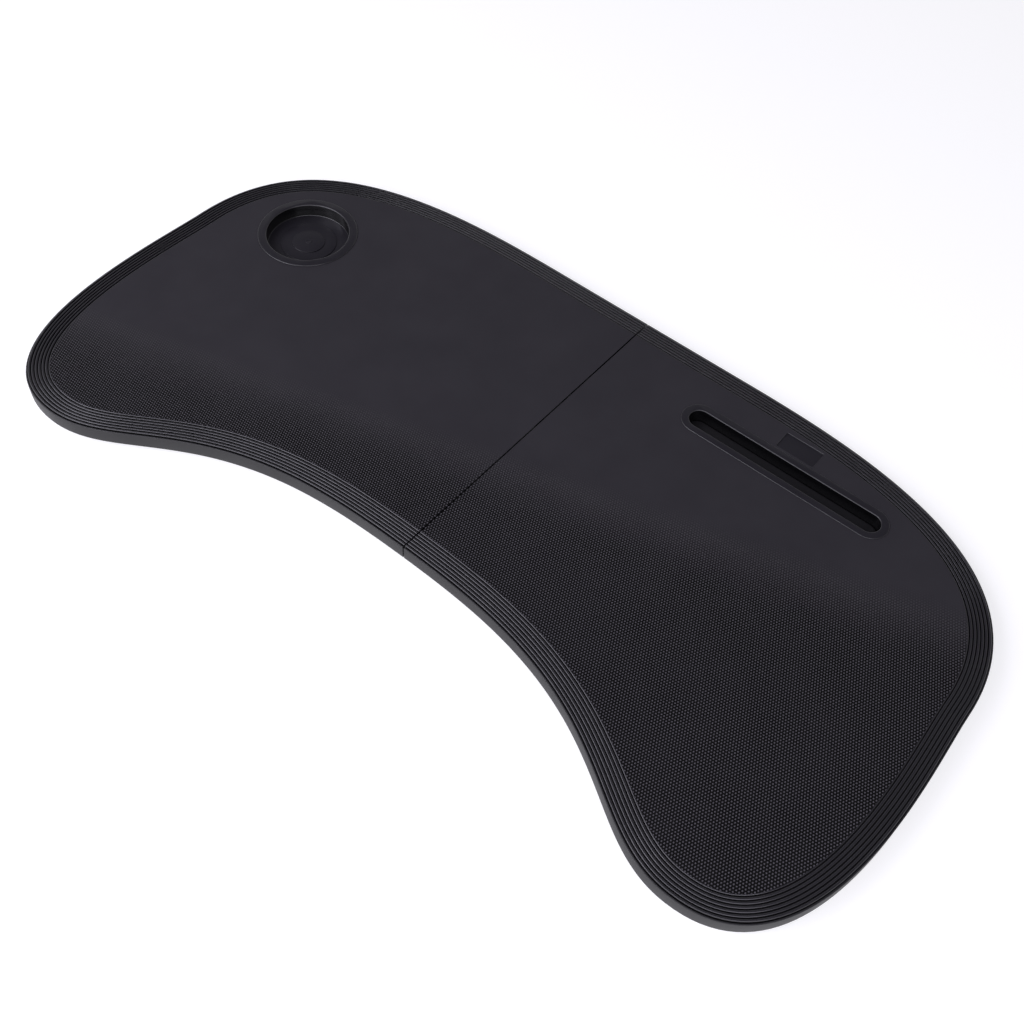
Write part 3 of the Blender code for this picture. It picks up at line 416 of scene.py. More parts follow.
@dataclass(frozen=True)
class MouldedRubber(Finish):
    """Compression moulded rubber: deep black, matt, with a dusty bloom on its surface."""

    colour: str
    bloom_colour: str
    roughness: float = 0.82
    bloom_mm: float = 3.0
    pore_mm: float = 0.4
    pore_depth_mm: float = 0.03

    def paint(self, tree: bpy.types.NodeTree, shader: bpy.types.Node) -> None:
        """Builds the bloom's patches and the pores of the rubber."""
        spot = self.millimetres(tree)
        bloom = add_node(
            tree, "ShaderNodeTexNoise", None,
            {"Scale": 1 / self.bloom_mm, "Detail": 4.0, "Roughness": 0.7}, {"Vector": spot},
        )
        pores = add_node(
            tree, "ShaderNodeTexNoise", None, {"Scale": 1 / self.pore_mm, "Detail": 2.0},
            {"Vector": spot},
        )
        self.coat(
            tree, shader, (self.colour, self.bloom_colour), bloom.outputs["Fac"],
            pores.outputs["Fac"], self.pore_depth_mm,
        )
        shader.inputs["Roughness"].default_value = self.roughness


# Satin ABS from a lightly eroded mould: nearly black, with a cool crisp sheen on rounded edges.
# Its grain is 0.1 mm in the real mould and is drawn at 0.45 mm, or it wouldn't show.
SATIN_ABS = MouldedPlastic(
    "abs_black_satin_moulded", "satin_black_abs", "#1d1c20", "#18171b",
    roughness=0.32, grain_depth_mm=0.008,
)
# The same ABS, glossier, in the grooves, on the wells' walls and at the seam. Its near-black colour
# is painted shade, so these sunk faces stay black between highlights. Its faint grain is drawn as
# coarse as the satin's.
RECESS_SHADE_ABS = MouldedPlastic(
    "abs_black_polished_core", "satin_black_abs", "#060607", "#040405",
    roughness=0.22, grain_depth_mm=0.004,
)
# The same ABS from a rougher mould, for the shells: duller, so the wall shows one even grey
# instead of a reflection. Its grain is drawn at 0.6 mm, coarser than real, or it wouldn't show.
MATT_ABS = MouldedPlastic(
    "abs_black_matt_moulded", "satin_black_abs", "#100f12", "#0c0b0e",
    roughness=0.54, grain_mm=0.6, grain_depth_mm=0.012,
)
# The same ABS where the mould is etched with staggered dots 1.75 mm apart, with little gloss. Its
# colour is light on the tips as painted highlight and near-black in the hollows as painted shade,
# so each dot reads. The relief is drawn deeper than real, or it wouldn't show, and fades rearwards
# with its painted light and shade, where the field looks plain. Its grain is drawn coarser.
DOTTED_PAINTED_SHADE_ABS = MouldedPlastic(
    "abs_black_etched_dots", "textured_black_abs", "#504e53", "#010101",
    roughness=0.34, grain_depth_mm=0.010, gloss_level=0.12, relief=Relief.STAGGERED_DOTS,
)
# Glass-filled nylon: a little duller and browner than the ABS. Its flow grain is coarser, and is
# drawn at 0.6 mm, or it wouldn't show.
NYLON = MouldedPlastic(
    "nylon_black_moulded", "black_nylon", "#1c1b1c", "#151415",
    roughness=0.50, grain_mm=0.6, grain_depth_mm=0.016, ior=1.53,
)
# Bright zinc plating: pale grey with a faint blue cast, softened by fine handling scratches, which
# are drawn 0.35 mm apart, or they wouldn't show.
ZINC_STEEL = PlatedSteel("steel_zinc_plated", "zinc_plated_steel", "#c6c8cc", "#aeb0b6", 0.34)
# Black zinc plating: a dark metal that still mirrors the light as a dull streak.
BLACK_STEEL = PlatedSteel("steel_black_zinc_plated", "blackened_steel", "#4a4a4f", "#35353a", 0.42)
# Natural rubber with carbon black: the darkest and dullest surface of the tray. Its pores are drawn
# 0.4 mm across, coarser than real, or they wouldn't show.
RUBBER = MouldedRubber("rubber_black_moulded", "black_rubber", "#131313", "#232323")


def arc(x: float, y: float, radius: float, start: float, end: float, steps: int) -> list[Point]:
    """Lists the points of an arc.

    Args:
        x: Centre along the first axis.
        y: Centre along the second axis.
        radius: Radius of the arc.
        start: First angle, in degrees.
        end: Last angle, in degrees.
        steps: Number of chords.

    Returns:
        The arc's points, both ends included.
    """
    angles = [math.radians(start + (end - start) * step / steps) for step in range(steps + 1)]
    return [(x + radius * math.cos(angle), y + radius * math.sin(angle)) for angle in angles]


def rounded(
    x: float, y: float, length: float, width: float, corner: float, steps: int = 6
) -> list[Point]:
    """Outline of a rectangle with round corners, anticlockwise.

    Args:
        x: Middle along X.
        y: Middle along Y.
        length: Size along X.
        width: Size along Y.
        corner: Corner radius; half the width makes a stadium, and of a square a circle.
        steps: Number of chords in a corner.

    Returns:
        The outline, with no point twice.
    """
    outline: list[Point] = []
    for sign_x, sign_y, start in ((1, 1, 0), (-1, 1, 90), (-1, -1, 180), (1, -1, 270)):
        centre = x + sign_x * (length / 2 - corner), y + sign_y * (width / 2 - corner)
        for point in arc(*centre, corner, start, start + 90, steps):
            if not outline or math.dist(point, outline[-1]) > SAME_POINT:
                outline.append(point)
    if math.dist(outline[0], outline[-1]) < SAME_POINT:
        outline.pop()
    return outline


def round_hole(x: float, y: float, radius: float, steps: int = 8) -> list[Point]:
    """Outline of a circle, anticlockwise."""
    return rounded(x, y, 2 * radius, 2 * radius, radius, steps)


def mitred(before: Vector, point: Vector, after: Vector, distance: float) -> Point:
    """Moves a corner along its mitre, to the right of the way that its outline runs.

    Args:
        before: The outline's last point before the corner.
        point: The corner.
        after: The next point after it.
        distance: How far its two edges move.

    Returns:
        The corner's new place.
    """
    arriving = (point - before).normalized()
    leaving = (after - point).normalized()
    along = (arriving + leaving).normalized()
    shift = distance / max(along.dot(arriving), SHARPEST_MITRE)
    return point.x + along.y * shift, point.y - along.x * shift


def grown(outline: Sequence[Point], distance: float) -> list[Point]:
    """Moves a closed anticlockwise outline outwards.

    Args:
        outline: The outline's points.
        distance: How far it grows; below zero it shrinks.

    Returns:
        The new outline, each corner moved along its mitre.
    """
    points = [Vector(point) for point in outline]
    return [
        mitred(points[index - 1], point, points[(index + 1) % len(points)], distance)
        for index, point in enumerate(points)
    ]


def finished(bm: bmesh.types.BMesh) -> bpy.types.Mesh:
    """Turns a closed bmesh into a mesh whose faces point out."""
    bmesh.ops.recalc_face_normals(bm, faces=bm.faces)
    mesh = bpy.data.meshes.new("solid")
    bm.to_mesh(mesh)
    bm.free()
    return mesh


def skinned(rows: Sequence[Sequence[Sequence[float]]]) -> bpy.types.Mesh:
    """Skins closed rings of one count into a capped solid.

    Args:
        rows: The rings, each a list of points.

    Returns:
        The solid's mesh.
    """
    bm = bmesh.new()
    rings = [[bm.verts.new(point) for point in row] for row in rows]
    for ring, after in zip(rings, rings[1:]):
        for index in range(len(ring)):
            bm.faces.new((ring[index - 1], ring[index], after[index], after[index - 1]))
    bm.faces.new(rings[0])
    bm.faces.new(rings[-1])
    return finished(bm)


def stacked(outline: Sequence[Point], profile: Iterable[Point]) -> bpy.types.Mesh:
    """Makes a solid whose outline grows and shrinks with height.

    Args:
        outline: Closed anticlockwise outline.
        profile: Growth and height of each level.

    Returns:
        The solid's mesh.
    """
    return skinned(
        [[(x, y, height) for x, y in grown(outline, growth)] for growth, height in profile]
    )


def turned(profile: Iterable[Point], segments: int = 48) -> bpy.types.Mesh:
    """Turns a profile about Z.

    Args:
        profile: Radius, above zero, and height of each level.
        segments: Number of facets round the axis.

    Returns:
        The solid's mesh, its ends capped flat.
    """
    steps = [2 * math.pi * index / segments for index in range(segments)]
    return skinned([
        [(radius * math.cos(step), radius * math.sin(step), height) for step in steps]
        for radius, height in profile
    ])


def merged(meshes: Iterable[bpy.types.Mesh]) -> bpy.types.Mesh:
    """Gathers several solids into one mesh."""
    bm = bmesh.new()
    for mesh in meshes:
        bm.from_mesh(mesh)
    return finished(bm)


def combined(
    mesh: bpy.types.Mesh, others: Iterable[bpy.types.Mesh], joining: Joining
) -> bpy.types.Mesh:
    """Joins solids to a mesh, cuts them out of it, or keeps what it shares with them.

    Args:
        mesh: The solid to change.
        others: The solids that change it, which may overlap one another.
        joining: What they do to it.

    Returns:
        The new mesh.
    """
    holders = []
    for data in (mesh, merged(others)):
        holder = bpy.data.objects.new("holder", data)
        bpy.context.scene.collection.objects.link(holder)
        holders.append(holder)
    modifier = holders[0].modifiers.new("combine", "BOOLEAN")
    modifier.operation = joining.value
    modifier.solver = "EXACT"
    modifier.use_self = True
    modifier.object = holders[1]
    graph = bpy.context.evaluated_depsgraph_get()
    made = bpy.data.meshes.new_from_object(holders[0].evaluated_get(graph))
    for holder in holders:
        bpy.data.objects.remove(holder, do_unlink=True)
    return made


def mirrored(mesh: bpy.types.Mesh, side: Side) -> bpy.types.Mesh:
    """Turns a mesh drawn for the right half into the given half's."""
    if side is Side.LEFT:
        mesh.transform(Matrix.Scale(-1, 4, (1, 0, 0)))
        mesh.flip_normals()
    return mesh


def add_piece(
    name: str,
    mesh: bpy.types.Mesh,
    body: str,
    finishes: Sequence[Finish],
    stands_for: Sequence[str] = (),
    place: Sequence[float] = (0.0, 0.0, 0.0),
    crease_degrees: float = 32.0,
) -> bpy.types.Object:
    """Adds one piece of the tray, dressed and riding on its body.

    Args:
        name: The piece's name.
        mesh: Its mesh.
        body: The CAD body that it rides on.
        finishes: Its finishes, in the order of its material numbers.
        stands_for: The CAD nodes that it replaces.
        place: Where its origin goes.
        crease_degrees: The angle from which an edge stays sharp.

    Returns:
        The new object.
    """
    mesh.shade_smooth()
    mesh.set_sharp_from_angle(angle=math.radians(crease_degrees))
    if not mesh.materials:
        for finish in finishes:
            mesh.materials.append(finish.material())
    item = bpy.data.objects.new(name, mesh)
    bpy.context.scene.collection.objects.link(item)
    item.location = place
    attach(item, body)
    if stands_for:
        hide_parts(*stands_for)
    LOG.info("%s: %d faces on %s", name, len(mesh.polygons), body)
    return item


def node_foot(node: str) -> Vector:
    """Middle of a CAD node's box in plan, at its lowest height."""
    low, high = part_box(node)
    return Vector(((low.x + high.x) / 2, (low.y + high.y) / 2, low.z))


@dataclass(frozen=True)
class EdgeLine:
    """Outer edge of the right half, from the rear end of the seam round to its front end."""

    length: float = 0.630
    depth: float = 0.322
    seam_gap: float = 0.001
    knot_shares: tuple[tuple[Point, Point, Point], ...] = (
        ((0.0, 1.0), (0.0, 1.0), (0.08, 1.0)),
        ((0.23, 1.0), (0.15, 1.0), (0.515, 1.0)),
        ((0.994, 0.2), (0.994, 1.0), (0.994, -0.075)),
        ((0.77, -1.0), (1.055, -1.0), (0.673, -1.0)),
        ((0.51, -0.768), (0.611, -0.879), (0.35, -0.589)),
        ((0.0, -0.566), (0.192, -0.566), (0.0, -0.566)),
    )
    steps: tuple[int, ...] = (10, 56, 48, 30, 36)

    def points(self) -> list[Vector]:
        """Points of the edge, its two ends on the seam's plane."""
        knots = [
            [Vector((x * self.length / 2, y * self.depth / 2)) for x, y in knot]
            for knot in self.knot_shares
        ]
        points: list[Vector] = []
        for start, end, steps in zip(knots, knots[1:], self.steps):
            points.extend(interpolate_bezier(start[0], start[2], end[1], end[0], steps + 1)[:-1])
        points.append(knots[-1][0])
        points[0].x = points[-1].x = self.seam_gap / 2
        return points

    def ring(self, inset: float, height: float, seam_inset: float = 0.0) -> list[Vector]:
        """The edge drawn in by a distance, at one height.

        Args:
            inset: Distance from the outer edge.
            height: Height of the ring.
            seam_inset: Distance of its ends from the seam's face.

        Returns:
            The ring's points, open at the seam.
        """
        points = self.points()
        ring = []
        for index, point in enumerate(points):
            if index in (0, len(points) - 1):
                x, y = point.x + seam_inset, point.y + (inset if index else -inset)
            else:
                x, y = mitred(points[index - 1], point, points[index + 1], inset)
            ring.append(Vector((x, y, height)))
        return ring

    def solid(
        self, profile: Iterable[Point], hollow: Iterable[Point] = (), seam_wall: float = 0.0
    ) -> bpy.types.Mesh:
        """Skins rings of the edge into one closed half.

        Args:
            profile: Inset and height of each ring that ends on the seam.
            hollow: Inset and height of each ring that also runs along inside the seam's wall.
            seam_wall: Thickness of that wall.

        Returns:
            The half's mesh.
        """
        bm = bmesh.new()
        open_rings = [self.ring(inset, height) for inset, height in profile]
        closed_rings = [self.ring(inset, height, seam_wall) for inset, height in hollow]
        rows = [[bm.verts.new(point) for point in ring] for ring in open_rings + closed_rings]
        seam_rows = rows[:len(open_rings)]
        for index, (row, after) in enumerate(zip(rows, rows[1:])):
            for step in range(len(row) - 1):
                bm.faces.new((row[step], row[step + 1], after[step + 1], after[step]))
            if index >= len(open_rings) - 1:
                bm.faces.new((row[-1], row[0], after[0], after[-1]))
        if seam_rows:
            bm.faces.new([row[0] for row in seam_rows] + [row[-1] for row in reversed(seam_rows)])
        bm.faces.new(rows[0])
        bm.faces.new(rows[-1])
        return finished(bm)


@dataclass(frozen=True)
class Recess:
    """A seat cut from below into a bottom shell, with the solid that closes it from inside."""

    outline: Sequence[Point]
    roof: float
    wall: float = 0.002
    cap: float = 0.0016
    chamfer: float = 0.0003

    def block(self, floor: float) -> bpy.types.Mesh:
        """The solid round the recess, from inside the shell's floor up to its cap."""
        return stacked(self.outline, [(self.wall, floor), (self.wall, self.roof + self.cap)])

    def cutter(self, base: float, overrun: float = 0.002) -> bpy.types.Mesh:
        """The recess itself, with a chamfered mouth."""
        return stacked(
            self.outline,
            [
                (self.chamfer, base - overrun),
                (self.chamfer, base),
                (0.0, base + self.chamfer),
                (0.0, self.roof),
            ],
        )


@dataclass(frozen=True)
class RimmedWell(ABC):
    """A well in the top panel, with a raised ring round its mouth."""

    x: float
    y: float
    ring_width: float
    ring_height: float
    ring_round: float
    mouth_round: float
    depth: float
    wall: float

    @abstractmethod
    def outline(self) -> list[Point]:
        """Outline of the well's wall."""

    def collar(self, top: float, buried: float, foot: float) -> bpy.types.Mesh:
        """The raised ring and the wall under it, before the well is cut.

        Args:
            top: Height of the panel's top face.
            buried: A height inside the panel's plate.
            foot: Height of the wall's lower end.

        Returns:
            One solid for both.
        """
        soft = self.ring_round
        shoulder = arc(self.ring_width - soft, top + self.ring_height - soft, soft, 0, 90, 5)
        profile = [(self.wall, foot), (self.wall, buried), (self.ring_width, buried), *shoulder]
        return stacked(self.outline(), profile)

    def mouth(self, top: float) -> list[Point]:
        """Growth and height of the rounded mouth's levels, from above the ring down to the wall."""
        ring_top, soft = top + self.ring_height, self.mouth_round
        return [(soft, ring_top + soft), *arc(soft, ring_top - soft, soft, 90, 180, 6)]


@dataclass(frozen=True)
class CupWell(RimmedWell):
    """Round well with a straight wall and a floor of discs that rise to its centre."""

    x: float = 0.2394
    y: float = 0.0689
    radius: float = 0.0297
    ring_width: float = 0.0063
    ring_height: float = 0.0008
    ring_round: float = 0.0006
    mouth_round: float = 0.0009
    depth: float = 0.009
    wall: float = 0.0024
    floor_thickness: float = 0.0011
    floor_round: float = 0.0006
    disc_radii: tuple[float, ...] = (0.0203, 0.0119, 0.0025)
    disc_rises: tuple[float, ...] = (0.0005, 0.0005, 0.0002)
    disc_round: float = 0.00018
    dimple_radius: float = 0.0014
    dimple_depth: float = 0.0003

    def outline(self) -> list[Point]:
        """Circle of the well's wall."""
        return round_hole(self.x, self.y, self.radius, 28)

    def cavity(self, top: float) -> bpy.types.Mesh:
        """The well itself, from its rounded mouth over the discs to the dimple at their centre."""
        level = top - self.depth
        foot, soft = self.floor_round, self.disc_round
        profile = [*self.mouth(top), *arc(-foot, level + foot, foot, 0, -90, 4)]
        for radius, rise in zip(self.disc_radii, self.disc_rises):
            inset = radius - self.radius
            profile.append((inset, level))
            level += rise
            profile += arc(inset - soft, level - soft, soft, 0, 90, 3)
        rim, pit = self.dimple_radius - self.radius, self.dimple_radius / 3 - self.radius
        return stacked(self.outline(), [*profile, (rim, level), (pit, level - self.dimple_depth)])


@dataclass(frozen=True)
class PhoneSlot(RimmedWell):
    """Long slot with round ends, closed below by a pad of the bottom shell."""

    x: float = 0.1403
    y: float = 0.1119
    length: float = 0.1414
    width: float = 0.0146
    ring_width: float = 0.0053
    ring_height: float = 0.0006
    ring_round: float = 0.0005
    mouth_round: float = 0.0008
    wall: float = 0.0018
    depth: float = 0.010
    pad_gap: float = 0.0003
    pad_round: float = 0.0005

    def outline(self) -> list[Point]:
        """Stadium of the slot's wall."""
        return rounded(self.x, self.y, self.length, self.width, self.width / 2, 14)

    def hole(self, top: float, foot: float) -> bpy.types.Mesh:
        """The slot itself, from its rounded mouth down through the collar."""
        return stacked(self.outline(), [*self.mouth(top), (0.0, foot - self.mouth_round)])

    def pad(self, top: float, buried: float) -> bpy.types.Mesh:
        """The pad of the bottom shell that is the slot's floor."""
        gap, soft = self.pad_gap, self.pad_round
        edge = arc(-gap - soft, top - self.depth - soft, soft, 0, 90, 4)
        return stacked(self.outline(), [(-gap, buried), *edge])


@dataclass(frozen=True)
class LabelSeat:
    """Shallow rectangle behind the slot, left bare."""

    x: float = 0.1403
    y: float = 0.1336
    length: float = 0.0275
    width: float = 0.014
    corner: float = 0.0008
    depth: float = 0.0007
    edge_round: float = 0.00012

    def cutter(self, top: float) -> bpy.types.Mesh:
        """The seat itself, below the panel's top face."""
        outline = rounded(self.x, self.y, self.length, self.width, self.corner, 4)
        soft = self.edge_round
        edge = [(0.0, top - soft), (soft, top), (soft, top + soft)]
        return stacked(outline, [(0.0, top - self.depth), *edge])


@dataclass(frozen=True)
class HookShape:
    """Flat hook for the rim of the wheel, and the pocket that it swings out of."""

    x: float = 0.122
    y: float = 0.1502
    thickness: float = 0.0052
    stem_width: float = 0.012
    reach: float = 0.042
    claw_width: float = 0.010
    claw_length: float = 0.0205
    inner_round: float = 0.008
    outer_round: float = 0.014
    edge_round: float = 0.0009
    sink_radius: float = 0.0041
    sink_depth: float = 0.0017
    core_depth: float = 0.0012
    core_width: float = 0.005
    core_corner: float = 0.005 / 2.01
    sweep_margin: float = 0.0006
    swing_overrun_degrees: float = 2.0
    fit_gap: float = 0.0003

    def outline(self) -> list[Point]:
        """The hook's outline about its pivot: eye, stem along X and claw towards the front."""
        half = self.stem_width / 2
        claw_tip = self.claw_width / 2
        eye = arc(0.0, 0.0, half, 90, 270, 16)
        inner_round = self.inner_round
        inner = arc(self.reach - inner_round, -half - inner_round, inner_round, 90, 0, 8)
        tip_y = -half - self.claw_length + claw_tip
        tip = arc(self.reach + claw_tip, tip_y, claw_tip, 180, 360, 16)
        outer_x = self.reach + self.claw_width - self.outer_round
        outer = arc(outer_x, half - self.outer_round, self.outer_round, 0, 90, 8)
        return eye + inner + tip + outer

    def mesh(self) -> bpy.types.Mesh:
        """The hook with rounded edges, a sink for its pin and a cored stem, its foot at zero."""
        soft, top = self.edge_round, self.thickness
        bar = stacked(
            self.outline(),
            [*arc(-soft, soft, soft, 270, 360, 4), *arc(-soft, top - soft, soft, 0, 90, 4)],
        )
        sink = stacked(
            round_hole(0.0, 0.0, self.sink_radius, 10),
            [(soft, -soft), (soft, 0.0), (0.0, soft / 2), (0.0, self.sink_depth)],
        )
        stem_end = self.reach + self.claw_width / 2
        start = self.sink_radius + self.core_width / 2
        middle, length = (start + stem_end) / 2, stem_end - start
        core = stacked(
            rounded(middle, 0.0, length, self.core_width, self.core_corner),
            [(soft / 2, -soft), (soft / 2, 0.0), (0.0, soft / 2), (-soft / 4, self.core_depth)],
        )
        return combined(bar, [sink, core], Joining.CUT)

    def pocket(self, beyond: float) -> list[Point]:
        """Outline of the pocket that holds the stored hook and its swing.

        Args:
            beyond: A place along Y outside the rear wall.

        Returns:
            The outline, anticlockwise.
        """
        left = self.x - self.stem_width / 2 - self.fit_gap
        claw_tip = self.claw_width / 2
        tip_x = self.reach + claw_tip
        tip_y = self.stem_width / 2 + self.claw_length - claw_tip
        radius = math.hypot(tip_x, tip_y) + claw_tip + self.sweep_margin
        front = self.stem_width / 2 + self.claw_length + self.fit_gap
        start = -math.degrees(math.asin(front / radius))
        swing = arc(self.x, self.y, radius, start, self.swing_overrun_degrees, 18)
        return [(left, swing[0][1]), *swing, (swing[-1][0], beyond), (left, beyond)]


@dataclass
class TrayHalf:
    """One moulded half: a bottom shell and the top panel set into it."""

    side: Side
    edge: EdgeLine = field(default_factory=EdgeLine)
    base: float = 0.003
    top: float = 0.015
    fit_gap: float = 0.0003
    shell_floor: float = 0.0016
    shell_wall: float = 0.0028
    seam_wall: float = 0.0024
    base_fillet: float = 0.001
    shoulder_drop: float = 0.0012
    shoulder_round: float = 0.0004
    parting_gap: float = 0.0005
    rabbet_inset: float = 0.0011
    panel_thickness: float = 0.0024
    lip_round: float = 0.00075
    groove_pitch: float = 0.0022
    groove_count: int = 6
    groove_depth: float = 0.001
    groove_bottom: float = 0.0004
    land_radius: float = 0.00093
    land_degrees: float = 45.0
    land_steps: int = 4
    crisp: float = 0.0001
    plate_seat_depth: float = 0.0015
    plate_seat_corner: float = 0.001
    near_seam: float = 0.0025
    seam_overrun: float = 0.002
    knuckle_width: float = 0.0054
    knuckle_corner: float = 0.0004
    knuckle_roof: float = 0.0051
    left_channel_end: float = 0.069
    right_channel_end: float = 0.019
    channel_overrun: float = 0.003
    channel_corner: float = 0.0005
    screw_count: int = 5
    screw_sink_radius: float = 0.0029
    screw_sink_roof: float = 0.005
    screw_boss_wall: float = 0.0017
    foot_seat_radius: float = 0.0093
    foot_seat_depth: float = 0.0008
    hook_sink: float = 0.0006
    pocket_overrun: float = 0.002
    cup: CupWell = field(default_factory=CupWell)
    slot: PhoneSlot = field(default_factory=PhoneSlot)
    label: LabelSeat = field(default_factory=LabelSeat)
    hook: HookShape = field(default_factory=HookShape)

    @property
    def underside(self) -> float:
        """Height of the panel's underside."""
        return self.top - self.panel_thickness

    @property
    def buried(self) -> float:
        """A height inside the shell's floor."""
        return self.base + self.shell_floor / 2

    def panel_profile(self) -> list[Point]:
        """Inset and height of the panel's rings: lip, grooves between crowned lands, and border."""
        edge, soft = self.rabbet_inset + self.fit_gap, self.lip_round
        crown, lean, steps = self.land_radius, self.land_degrees, self.land_steps
        trough = self.top - self.groove_depth
        profile = [(edge, self.underside), *arc(edge + soft, self.top - soft, soft, 180, 90, 8)]
        crest = self.rabbet_inset + self.groove_pitch / 2
        for _ in range(self.groove_count):
            middle = crest + self.groove_pitch / 2
            half = self.groove_bottom / 2
            profile += arc(crest, self.top - crown, crown, 90, 90 - lean, steps)
            profile += [(middle - half, trough), (middle + half, trough)]
            crest += self.groove_pitch
            profile += arc(crest, self.top - crown, crown, 90 + lean, 90, steps)[:-1]
        profile += [(crest, self.top), (crest + self.crisp, self.top)]
        return profile

    def panel(self) -> bpy.types.Mesh:
        """The top panel, with the cup well on the left or the slot and label seat on the right."""
        if self.side is Side.LEFT:
            well = self.cup
            foot = self.top - well.depth - well.floor_thickness
            cuts = [well.cavity(self.top)]
        else:
            well = self.slot
            foot = self.base + self.shell_floor + self.fit_gap
            cuts = [well.hole(self.top, foot), self.label.cutter(self.top)]
        plate = self.edge.solid(self.panel_profile())
        collar = well.collar(self.top, (self.underside + self.top) / 2, foot)
        plate = combined(plate, [collar], Joining.ADD)
        plate = combined(plate, cuts, Joining.CUT)
        return mirrored(plate, self.side)

    def mark_faces(
        self,
        mesh: bpy.types.Mesh,
        tolerance: float = 0.00001,
        flat: float = 0.99,
        steep: float = 0.7,
        sunk_share: float = 0.4,
    ) -> None:
        """Marks the level field, and the sunk faces that take the near-black colour of painted
        shade.

        Args:
            mesh: The panel's mesh.
            tolerance: How far a face may lie from the height it is looked for at.
            flat: The normal's rise above which a face is level.
            steep: The normal's rise below which a face is a wall.
            sunk_share: The share of a groove's depth below which a wall takes the painted shade.
        """
        for face in mesh.polygons:
            heights = [mesh.vertices[corner].co.z for corner in face.vertices]
            level = max(abs(height - self.top) for height in heights) < tolerance
            sunk = self.top - face.center.z
            wall = abs(face.normal.z) < steep and sunk > self.groove_depth * sunk_share
            zone = PanelZone.BORDER
            # Sunk walls and groove bottoms take the near-black colour of painted shade.
            if wall or abs(sunk - self.groove_depth) < tolerance:
                zone = PanelZone.RECESSED
            elif level and face.normal.z > flat:
                zone = PanelZone.FIELD
            face.material_index = zone.value

    def shell_profile(self) -> list[Point]:
        """Inset and height of the shell's outer rings: fillet, wall, shoulder and parting gap."""
        foot, soft = self.base_fillet, self.shoulder_round
        shoulder = self.top - self.shoulder_drop
        ledge = self.rabbet_inset + self.fit_gap - self.parting_gap
        return [
            (foot + self.crisp, self.base),
            *arc(foot, self.base + foot, foot, 270, 180, 5),
            *arc(soft, shoulder - soft, soft, 180, 90, 5),
            (ledge, shoulder),
            (ledge, self.underside - self.fit_gap),
        ]

    def seat_of(self, node: str) -> Recess:
        """A recess that takes a plate with the fit gap round it.

        Args:
            node: The plate's CAD node.

        Returns:
            The recess, drawn for the right half, and open at the seam where the plate reaches it.
        """
        low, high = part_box(node)
        gap = self.fit_gap
        near, far = sorted((abs(low.x), abs(high.x)))
        if low.x < 0 < high.x or near < self.near_seam:
            near = -self.seam_overrun - gap
        middle = (near + far) / 2, (low.y + high.y) / 2
        size = far - near + 2 * gap, high.y - low.y + 2 * gap
        outline = rounded(*middle, *size, self.plate_seat_corner, 4)
        return Recess(outline, self.base + self.plate_seat_depth)

    def recesses(self) -> list[Recess]:
        """Everything cut into the shell's underside, drawn for the right half."""
        word, gap = self.side.word, self.fit_gap
        found = []
        for row in ("front", "rear"):
            found.append(self.seat_of(f"{row}_hinge_{word}_leaf"))
            low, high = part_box(f"{row}_hinge_pin")
            size = self.knuckle_width, high.y - low.y + 2 * gap
            knuckle = rounded(0.0, (low.y + high.y) / 2, *size, self.knuckle_corner, 3)
            found.append(Recess(knuckle, self.knuckle_roof))
        plate, end = "lock_keeper_plate", self.right_channel_end
        if self.side is Side.LEFT:
            plate, end = "lock_cover_plate", self.left_channel_end
        found.append(self.seat_of(plate))
        low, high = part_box("lock_slide")
        middle = (end - self.channel_overrun) / 2, (low.y + high.y) / 2
        size = end + self.channel_overrun, high.y - low.y + 2 * gap
        channel = rounded(*middle, *size, self.channel_corner, 2)
        found.append(Recess(channel, high.z + gap, chamfer=0.0))
        for number in range(1, self.screw_count + 1):
            spot = node_foot(f"{word}_case_screw_{number}")
            sink = round_hole(abs(spot.x), spot.y, self.screw_sink_radius)
            found.append(Recess(sink, self.screw_sink_roof, wall=self.screw_boss_wall))
        for row in FOOT_ROWS:
            spot = node_foot(f"{word}_{row}_foot")
            seat = round_hole(abs(spot.x), spot.y, self.foot_seat_radius, 12)
            found.append(Recess(seat, self.base + self.foot_seat_depth))
        return found

    def shell(self) -> bpy.types.Mesh:
        """The bottom shell with its seats, pockets and channels."""
        ledge = self.underside - self.fit_gap
        inside = [(self.shell_wall, ledge), (self.shell_wall, self.base + self.shell_floor)]
        tub = self.edge.solid(self.shell_profile(), inside, self.seam_wall)
        pocket_roof = self.base + self.hook_sink + self.hook.thickness + self.fit_gap
        pocket = self.hook.pocket(self.edge.depth / 2 + self.pocket_overrun)
        recesses = [*self.recesses(), Recess(pocket, pocket_roof)]
        room = self.edge.solid(
            [],
            [(self.shell_wall / 2, self.buried), (self.shell_wall / 2, ledge - self.fit_gap)],
            self.seam_wall / 2,
        )
        blocks = merged([recess.block(self.buried) for recess in recesses])
        tub = combined(tub, [combined(blocks, [room], Joining.KEEP_COMMON)], Joining.ADD)
        if self.side is Side.RIGHT:
            tub = combined(tub, [self.slot.pad(self.top, self.buried)], Joining.ADD)
        tub = combined(tub, [recess.cutter(self.base) for recess in recesses], Joining.CUT)
        return mirrored(tub, self.side)

